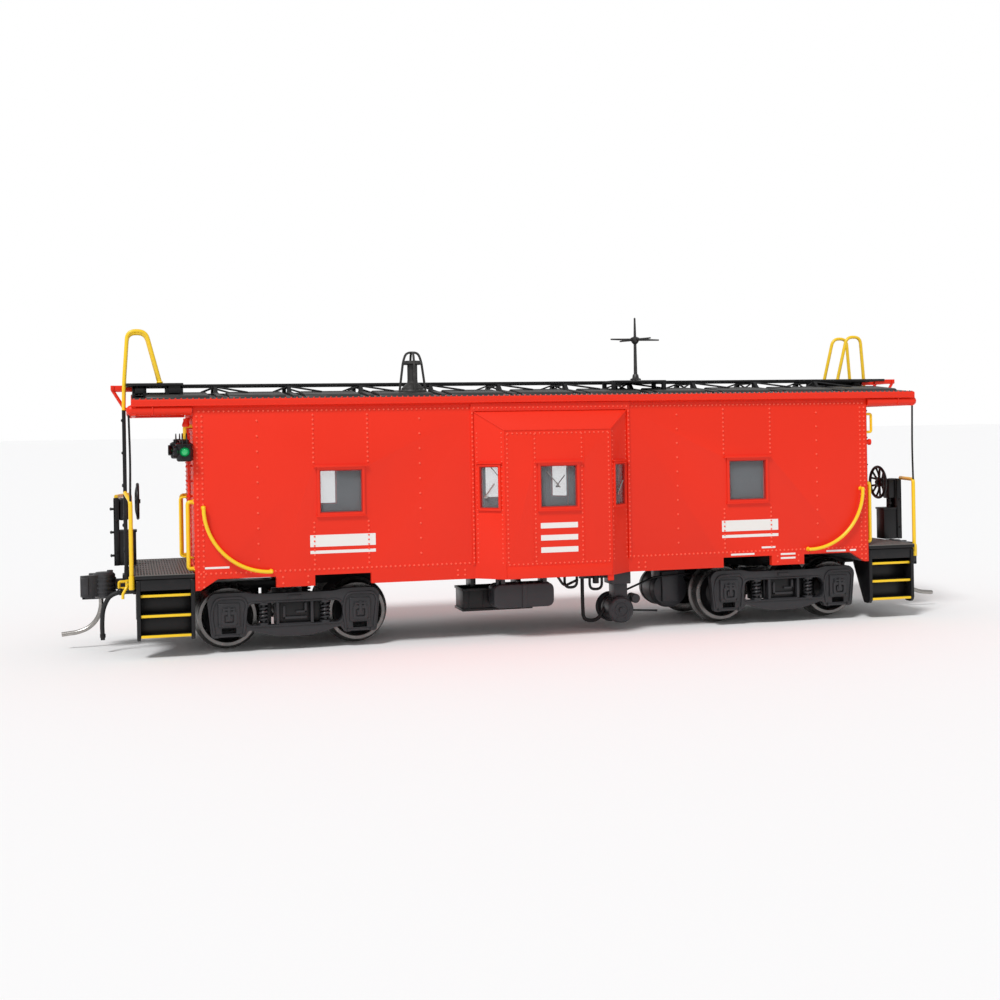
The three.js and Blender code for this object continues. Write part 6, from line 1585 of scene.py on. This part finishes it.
@dataclass(frozen=True)
class Truck:
    """A two-axle truck, modelled from its centre with Z from the line of its axles."""

    side: str
    base: float = 10.5  # half the wheelbase
    inner: float = 11.8  # inner face of a side frame
    outer: float = 13.1
    top: float = 3.81
    low: float = -3.14
    tread: float = 4.81
    flange: float = 5.44
    back: float = 7.25  # from the middle to a wheel's back

    @property
    def origin(self) -> Matrix:
        """The truck's place on the car."""
        middle = node_middle("truck_bolster_" + self.side)
        axle = node_middle(f"wheelset_{self.side}_left").z
        return Matrix.Translation((middle.x, 0, axle))

    def build(self) -> None:
        """Builds the side frames, the bolster and both wheelsets."""
        body = self.side + "_truck"
        for label, move in (("near", AS_BUILT), ("far", MIRROR_Y)):
            node = f"side_frame_{self.side}_{label}"
            self.side_frame().moved(self.origin @ move).publish(
                node.replace("side_frame", "truck_side"), body, PAINT.truck, PAINT.black,
                replaces=[node])
        Shape.from_node("truck_bolster_" + self.side, 0.12).publish(
            "bolster_" + self.side, body, PAINT.truck, replaces=["truck_bolster_" + self.side])
        self.brake_beams().moved(self.origin).publish("brake_beams_" + self.side, body, PAINT.black)
        for end in ("left", "right"):
            node = f"wheelset_{self.side}_{end}"
            centre = node_middle(node)
            self.wheelset().moved(Matrix.Translation(centre)).publish(
                node.replace("wheelset", "wheels"), f"{self.side}_truck_{end}_wheels", PAINT.wheel,
                PAINT.tyre, PAINT.black, replaces=[node])

    def frame_line(self) -> list[Vector]:
        """Returns the rounded outline of a side frame."""
        b, top, low = self.base, self.top, self.low
        right = [(b - 4.2, top), (b - 2.6, top + 0.35), (b + 2.5, top + 0.35), (b + 3.35, top - 0.6),
                 (b + 2.75, low + 0.2), (b + 1.5, low + 0.2), (b + 1.5, low + 0.7), (b - 1.5, low + 0.7),
                 (b - 1.5, low + 0.2), (b - 2.6, low + 0.2), (b - 3.1, low + 1.3), (b - 5.2, low + 0.6),
                 (b - 8, low)]
        left = [(-x, z) for x, z in reversed(right)]
        return eased(right + left, 0.7, 4, closed=True)

    def side_frame(self) -> Shape:
        """Returns a near side frame: a cast frame with boxes, springs and column guides."""
        b = self.base
        opening = eased([(-b + 3.1, -1.2), (b - 3.1, -1.2), (b - 2.6, 0.56), (b - 3.3, 2.3), (-b + 3.3, 2.3),
                         (-b + 2.6, 0.56)], 1.7, 7, closed=True)
        jaws = [[(x - 1.15, self.low + 0.85), (x + 1.15, self.low + 0.85), (x + 1.15, self.low + 1.75),
                 (x - 1.15, self.low + 1.75)] for x in (-b, b)]
        shape = Shape().plate(self.frame_line(), Plane.XZ, -self.outer, -self.inner, 0.2,
                              [opening, *jaws], segments=3)
        for sign in (-1, 1):
            shape.add(self.journal_box(), Matrix.Translation((sign * b, 0, 0)))
            shape.add(self.spring(), Matrix.Translation((sign * 4.95, 0, 0)))
            shape.add(self.pedestal_rim(), Matrix.Translation((sign * b, 0, 0)))
        shape.add(self.column_guides())
        rim = eased([(-b + 2.9, -1.35), (b - 2.9, -1.35), (b - 2.3, 0.56), (b - 3.1, 2.5), (-b + 3.1, 2.5),
                     (-b + 2.3, 0.56)], 1.8, 7, closed=True)
        shape.wire([(u, -self.outer - 0.02, v) for u, v in rim], 0.17, closed=True, sides=8)
        shape.box((-1.1, -self.outer - 0.2, self.top - 0.95), (1.1, -self.outer + 0.1, self.top - 0.35), 0.1)
        return shape

    def pedestal_rim(self) -> Shape:
        """Returns the raised edge round a pedestal, centred on its axle."""
        line = eased([(-2.3, self.low + 0.9), (-2.75, 1.0), (-2.1, 3.35), (2.2, 3.35), (2.85, 2.5),
                      (2.35, self.low + 0.9)], 1.1, 6)
        shape = Shape().wire([(u, -self.outer - 0.05, v) for u, v in line], 0.24, sides=8)
        shape.box((-1.7, -self.outer - 0.15, self.low + 0.3), (1.7, -self.outer + 0.4, self.low + 0.7), 0.1)
        for x in (-1.9, 1.9):
            shape.rod((x, -self.outer - 0.3, self.low + 0.5), (x, -self.outer + 0.1, self.low + 0.5), 0.24, 6)
        return shape

    def journal_box(self) -> Shape:
        """Returns a journal box with its hinged lid, centred on its axle."""
        face = -self.outer - 0.9
        shape = Shape()
        shape.box((-1.72, face + 0.45, -1.24), (1.72, -self.outer + 0.1, 2.6), 0.3, 3)
        shell = eased([(-1.2, -0.45), (-0.95, -0.85), (0.95, -0.85), (1.2, -0.45), (1.2, 1.2), (0.9, 1.35),
                       (-0.9, 1.35), (-1.2, 1.2)], 0.35, 3, closed=True)
        well = eased([(-0.75, -0.45), (0.75, -0.45), (0.8, 0.85), (-0.8, 0.85)], 0.25, 3, closed=True)
        shape.plate([(u, v) for u, v in shell], Plane.XZ, face + 0.12, face + 0.6, 0.1, [well])
        lid = eased([(-0.5, -0.25), (0.5, -0.25), (0.55, 0.65), (-0.55, 0.65)], 0.2, 3, closed=True)
        shape.plate(lid, Plane.XZ, face + 0.1, face + 0.6, 0.08)
        shape.box((-0.24, face - 0.02, 0.1), (0.24, face + 0.5, 2.05), 0.08)
        shape.rod((0, face, 0.15), (0, face + 0.4, 0.15), 0.3, 8, bevel=0.05)
        for x in (-0.8, 0.8):
            shape.box((x - 0.22, face + 0.1, 1.2), (x + 0.22, face + 0.6, 1.95), 0.1)
        shape.rod((-0.95, face + 0.2, 1.65), (0.95, face + 0.2, 1.65), 0.2, 14)
        for x in (-1.45, 1.45):
            shape.rod((x, face + 0.3, -0.9), (x, face + 0.6, -0.9), 0.2, 6)
        return shape

    def spring(self) -> Shape:
        """Returns a coil spring between its seats, in the frame's opening."""
        y, low, high, turns = -self.outer + 0.62, -0.95, 2.1, 4.5
        count = 84
        coil = [(0.62 * math.cos(2 * math.pi * turns * i / count), y + 0.62 * math.sin(
            2 * math.pi * turns * i / count), low + 0.2 + (high - low - 0.4) * i / count)
            for i in range(count + 1)]
        shape = Shape().wire(coil, 0.19, sides=8)
        shape.rod((0, y, low - 0.4), (0, y, low + 0.1), 0.9, 20, bevel=0.1)
        shape.rod((0, y, high - 0.1), (0, y, high + 0.35), 0.9, 20, bevel=0.1)
        shape.rod((0, y, low), (0, y, high), 0.3, 12)
        return shape

    def column_guides(self) -> Shape:
        """Returns the square frame in the middle, with the bolster's end inside it, darkened as painted shade."""
        y0, y1 = -self.outer - 0.05, -self.inner - 0.2
        shape = Shape()
        for x in (-2.75, 2.75):
            shape.box((x - 0.24, y0, -1.35), (x + 0.24, y1, 2.4), 0.08)
        shape.box((-2.9, y0, -1.5), (2.9, y1, -1.05), 0.08)
        shape.box((-1.9, y0 + 0.35, -0.45), (1.9, y1, -0.05), 0.08)
        shape.box((-1.9, y0 + 0.35, -0.45), (-1.5, y1, 1.7), 0.08)
        shape.box((0.2, y0 + 0.25, 0.5), (1.95, y1, 0.85), 0.08)
        shape.box((1.55, y0 + 0.25, 0.5), (1.95, y1, 2.1), 0.08)
        # The plate behind the frame takes the blacker frame finish: painted shade inside the frame.
        shape.in_paint(1)
        shape.box((-2.6, y1 - 0.35, -1.2), (2.6, y1, 2.4), 0.05)
        return shape

    def brake_beams(self) -> Shape:
        """Returns the brake beams and shoes between the wheels."""
        shape = Shape()
        for sign in (-1, 1):
            x = sign * (self.base - self.flange - 0.75)
            shape.box((x - 0.25, -11.2, -0.9), (x + 0.25, 11.2, -0.3), 0.08)
            for y in (-8.7, 8.7):
                shape.box((x - 0.35, y - 0.9, -1.5), (x + 0.35, y + 0.9, 1.4), 0.15)
            for y in (-11.2, 11.2):
                shape.box((x - 1.15, y - 0.35, -1.55), (x + 0.65, y + 0.35, 2.3), 0.1)
        return shape

    def wheelset(self) -> Shape:
        """Returns two wheels on their axle: dark dished plates in bright rims."""
        face = self.back + 2.75
        tread, flange = self.tread, self.flange
        shape = Shape()
        for sign in (-1, 1):
            shape.in_paint(1)
            rim = [(tread - 0.95, self.back + 0.12), (tread - 0.25, self.back), (flange - 0.22, self.back + 0.08),
                   (flange - 0.02, self.back + 0.28), (flange - 0.08, self.back + 0.5),
                   (tread + 0.16, self.back + 0.78), (tread + 0.06, self.back + 1.0), (tread - 0.05, face - 0.12),
                   (tread - 0.17, face), (tread - 0.66, face), (tread - 0.78, face - 0.1),
                   (tread - 0.95, face - 0.55)]
            shape.turned([(r, sign * y) for r, y in rim], (0, 0, 0), Axis.Y, 72, closed=True)
            shape.in_paint(2)
            web = [(0, self.back - 0.35), (1.5, self.back - 0.35), (1.75, self.back + 0.1),
                   (2.6, self.back + 0.75), (tread - 1.3, self.back + 0.45), (tread - 0.9, self.back + 0.18),
                   (tread - 0.9, face - 0.62), (tread - 1.3, face - 0.95), (2.5, face - 1.15),
                   (1.75, face - 0.65), (1.5, face - 0.35), (0, face - 0.35)]
            shape.turned([(r, sign * y) for r, y in web], (0, 0, 0), Axis.Y, 56)
        shape.in_paint(0)
        tip = node_box(f"wheelset_{self.side}_left")[1].y
        axle = [(0, -tip), (0.35, -tip + 0.1), (0.6, -tip + 0.35), (0.62, -face + 0.2), (1.1, -face + 0.6),
                (1.1, -self.back + 0.6), (0.95, -self.back + 1.2), (0.95, self.back - 1.2),
                (1.1, self.back - 0.6), (1.1, face - 0.6), (0.62, face - 0.2), (0.6, tip - 0.35),
                (0.35, tip - 0.1), (0, tip)]
        return shape.turned(axle, (0, 0, 0), Axis.Y, 32)


# ---- Couplers ----------------------------------------------------------------------------
@dataclass(frozen=True)
class Coupler:
    """One end's coupler and its knuckle with the bright trip wire."""

    side: str

    def build(self) -> None:
        """Builds the coupler and the knuckle of this end."""
        turn = AS_BUILT if self.side == "right" else HALF_TURN
        head = Shape.from_node("coupler_" + self.side, 0.14, 3).add(self.lugs(), turn)
        head.publish("coupler_head_" + self.side, self.side + "_coupler", PAINT.iron,
                     replaces=["coupler_" + self.side])
        self.knuckle().moved(turn).publish(
            "knuckle_" + self.side, self.side + "_knuckle", PAINT.iron, PAINT.steel,
            replaces=["coupler_knuckle_" + self.side])

    def lugs(self) -> Shape:
        """Returns the drum, ribs and bosses cast on the right end's coupler head."""
        face = node_box("coupler_right")[1].x - 0.1
        z = node_middle("coupler_right").z
        x, y = face - 3.7, 0.75
        shape = Shape().turned([(0, z - 2.1), (1.35, z - 2.1), (1.75, z - 1.75), (1.75, z + 1.75),
                                (1.35, z + 2.1), (0, z + 2.1)], (x, y, 0), Axis.Z, 28)
        for height in (-1.05, -0.35, 0.35, 1.05):
            shape.turned([(0, z + height - 0.14), (1.9, z + height - 0.14), (1.9, z + height + 0.14),
                          (0, z + height + 0.14)], (x, y, 0), Axis.Z, 28)
        shape.box((face - 1.3, 2.2, z - 1.5), (face + 0.05, 2.85, z + 1.5), 0.14)
        shape.rod((face - 4.6, -0.4, z + 1.6), (face - 4.6, -0.4, z + 2.3), 0.5, 14, bevel=0.08)
        return shape

    def knuckle(self) -> Shape:
        """Returns the right end's knuckle, hooked like a finger, with its trip wire."""
        face = node_box("coupler_right")[1].x - 0.1
        x, y, z = face - 1.75, -1.5, node_middle("coupler_right").z
        jaw = eased([(x - 0.75, -2.3), (x + 0.9, -2.4), (face, -1.9), (face, 0.1), (face - 0.5, 0.5),
                     (face - 1.0, 0.3), (face - 1.1, -0.6), (x - 0.6, -0.65)], 0.35, 4, closed=True)
        pin = [(x + 0.6 * math.cos(a), y + 0.6 * math.sin(a))
               for a in spread(0, 2 * math.pi * 15 / 16, 2 * math.pi / 16)]
        shape = Shape().plate([(u, v) for u, v in jaw], Plane.XY, z - 0.95, z + 0.95, 0.1, [pin])
        drop = face - 3.1
        shape.box((face - 0.75, -1.75, z - 2.5), (face - 0.1, -1.05, z - 0.8), 0.1)
        shape.box((drop - 0.5, -1.75, z - 2.5), (face - 0.1, -1.05, z - 1.95), 0.1)
        shape.in_paint(1)
        shape.wire([(drop, -1.4, z - 2.2), (drop, -1.4, z - 3.8), (drop + 0.4, -1.4, z - 5.3),
                    (drop + 1.2, -1.4, z - 6.5), (drop + 2.3, -1.4, z - 7.35),
                    (drop + 3.8, -1.4, z - 7.85), (face + 3.22, -1.4, z - 8.1)], 0.38, 1.2, sides=14)
        return shape


# ---- Studio ------------------------------------------------------------------------------
@dataclass(frozen=True)
class Studio:
    """A pale floor, soft light and the camera."""

    eye: Colour = (-68.62, -241.52, 34.81)
    yaw: float = 0.258
    roll: float = -0.017
    lens: float = 50.815
    shift: float = -0.0697
    sky_light: float = 0.55

    def build(self) -> None:
        """Sets up the floor, the lights, the sky and the camera."""
        self.floor()
        self.sky()
        self.lamp("key", (-45, -50, 85), 14, 2.0)
        self.camera()

    def floor(self) -> None:
        """Adds the floor at the level of the wheel flanges."""
        bm = bmesh.new()
        bmesh.ops.create_grid(bm, x_segments=1, y_segments=1, size=20)
        mesh = bpy.data.meshes.new("floor")
        bm.to_mesh(mesh)
        bm.free()
        floor = bpy.data.objects.new("floor", mesh)
        bpy.context.scene.collection.objects.link(floor)
        graph = Graph("floor_paper")
        graph.shader.inputs["Base Color"].default_value = (0.93, 0.93, 0.935, 1)
        graph.shader.inputs["Specular IOR Level"].default_value = 0.1
        graph.feed(graph.shader.inputs["Roughness"], 0.7 + graph.noise(30) * 0.1)
        mesh.materials.append(graph.material)

    def sky(self) -> None:
        """Sets an even white surround."""
        world = bpy.data.worlds.new("studio")
        world.use_nodes = True
        tree = world.node_tree
        shade = tree.nodes["Background"]
        shade.inputs["Color"].default_value = (1, 1, 1, 1)
        seen = tree.nodes.new("ShaderNodeLightPath")
        strength = tree.nodes.new("ShaderNodeMapRange")
        strength.inputs["To Min"].default_value = self.sky_light
        strength.inputs["To Max"].default_value = 1.0
        tree.links.new(seen.outputs["Is Camera Ray"], strength.inputs["Value"])
        tree.links.new(strength.outputs["Result"], shade.inputs["Strength"])
        bpy.context.scene.world = world

    def lamp(self, name: str, direction: Point, spread_angle: float, strength: float) -> None:
        """Adds a broad, even light.

        Args:
            name: The lamp's name.
            direction: The way from the car to the lamp.
            spread_angle: How wide it looks from the car, in degrees.
            strength: Its strength.
        """
        light = bpy.data.lights.new(name, "SUN")
        light.angle = math.radians(spread_angle)
        light.energy = strength
        holder = bpy.data.objects.new(name, light)
        bpy.context.scene.collection.objects.link(holder)
        holder.matrix_world = Vector(direction).to_track_quat("Z", "Y").to_matrix().to_4x4()

    def camera(self) -> None:
        """Sets the camera level with the cabin, turned and rolled a little."""
        data = bpy.data.cameras.new("camera")
        data.lens = self.lens
        data.sensor_width = 36
        data.shift_y = self.shift
        data.clip_start = 0.01
        data.dof.use_dof = False
        ahead = Vector((math.sin(self.yaw), math.cos(self.yaw), 0))
        level = Vector((math.cos(self.yaw), -math.sin(self.yaw), 0))
        right = level * math.cos(self.roll) + Vector((0, 0, 1)) * math.sin(self.roll)
        up = right.cross(ahead)
        turn = Matrix((right, up, -ahead)).transposed().to_4x4()
        camera = bpy.data.objects.new("camera", data)
        camera.matrix_world = Matrix.Translation(Vector(self.eye) * MM) @ turn
        bpy.context.scene.collection.objects.link(camera)
        bpy.context.scene.camera = camera
        bpy.context.scene.view_settings.view_transform = "Standard"


def main() -> None:
    """Builds the studio and every sub-assembly."""
    logging.basicConfig(level=logging.INFO, format="%(message)s")
    Studio().build()
    Body().build()
    Roof().build()
    Ends().build()
    Underside().build()
    for side in ("left", "right"):
        Truck(side).build()
        Coupler(side).build()


if __name__ == "__main__":
    main()
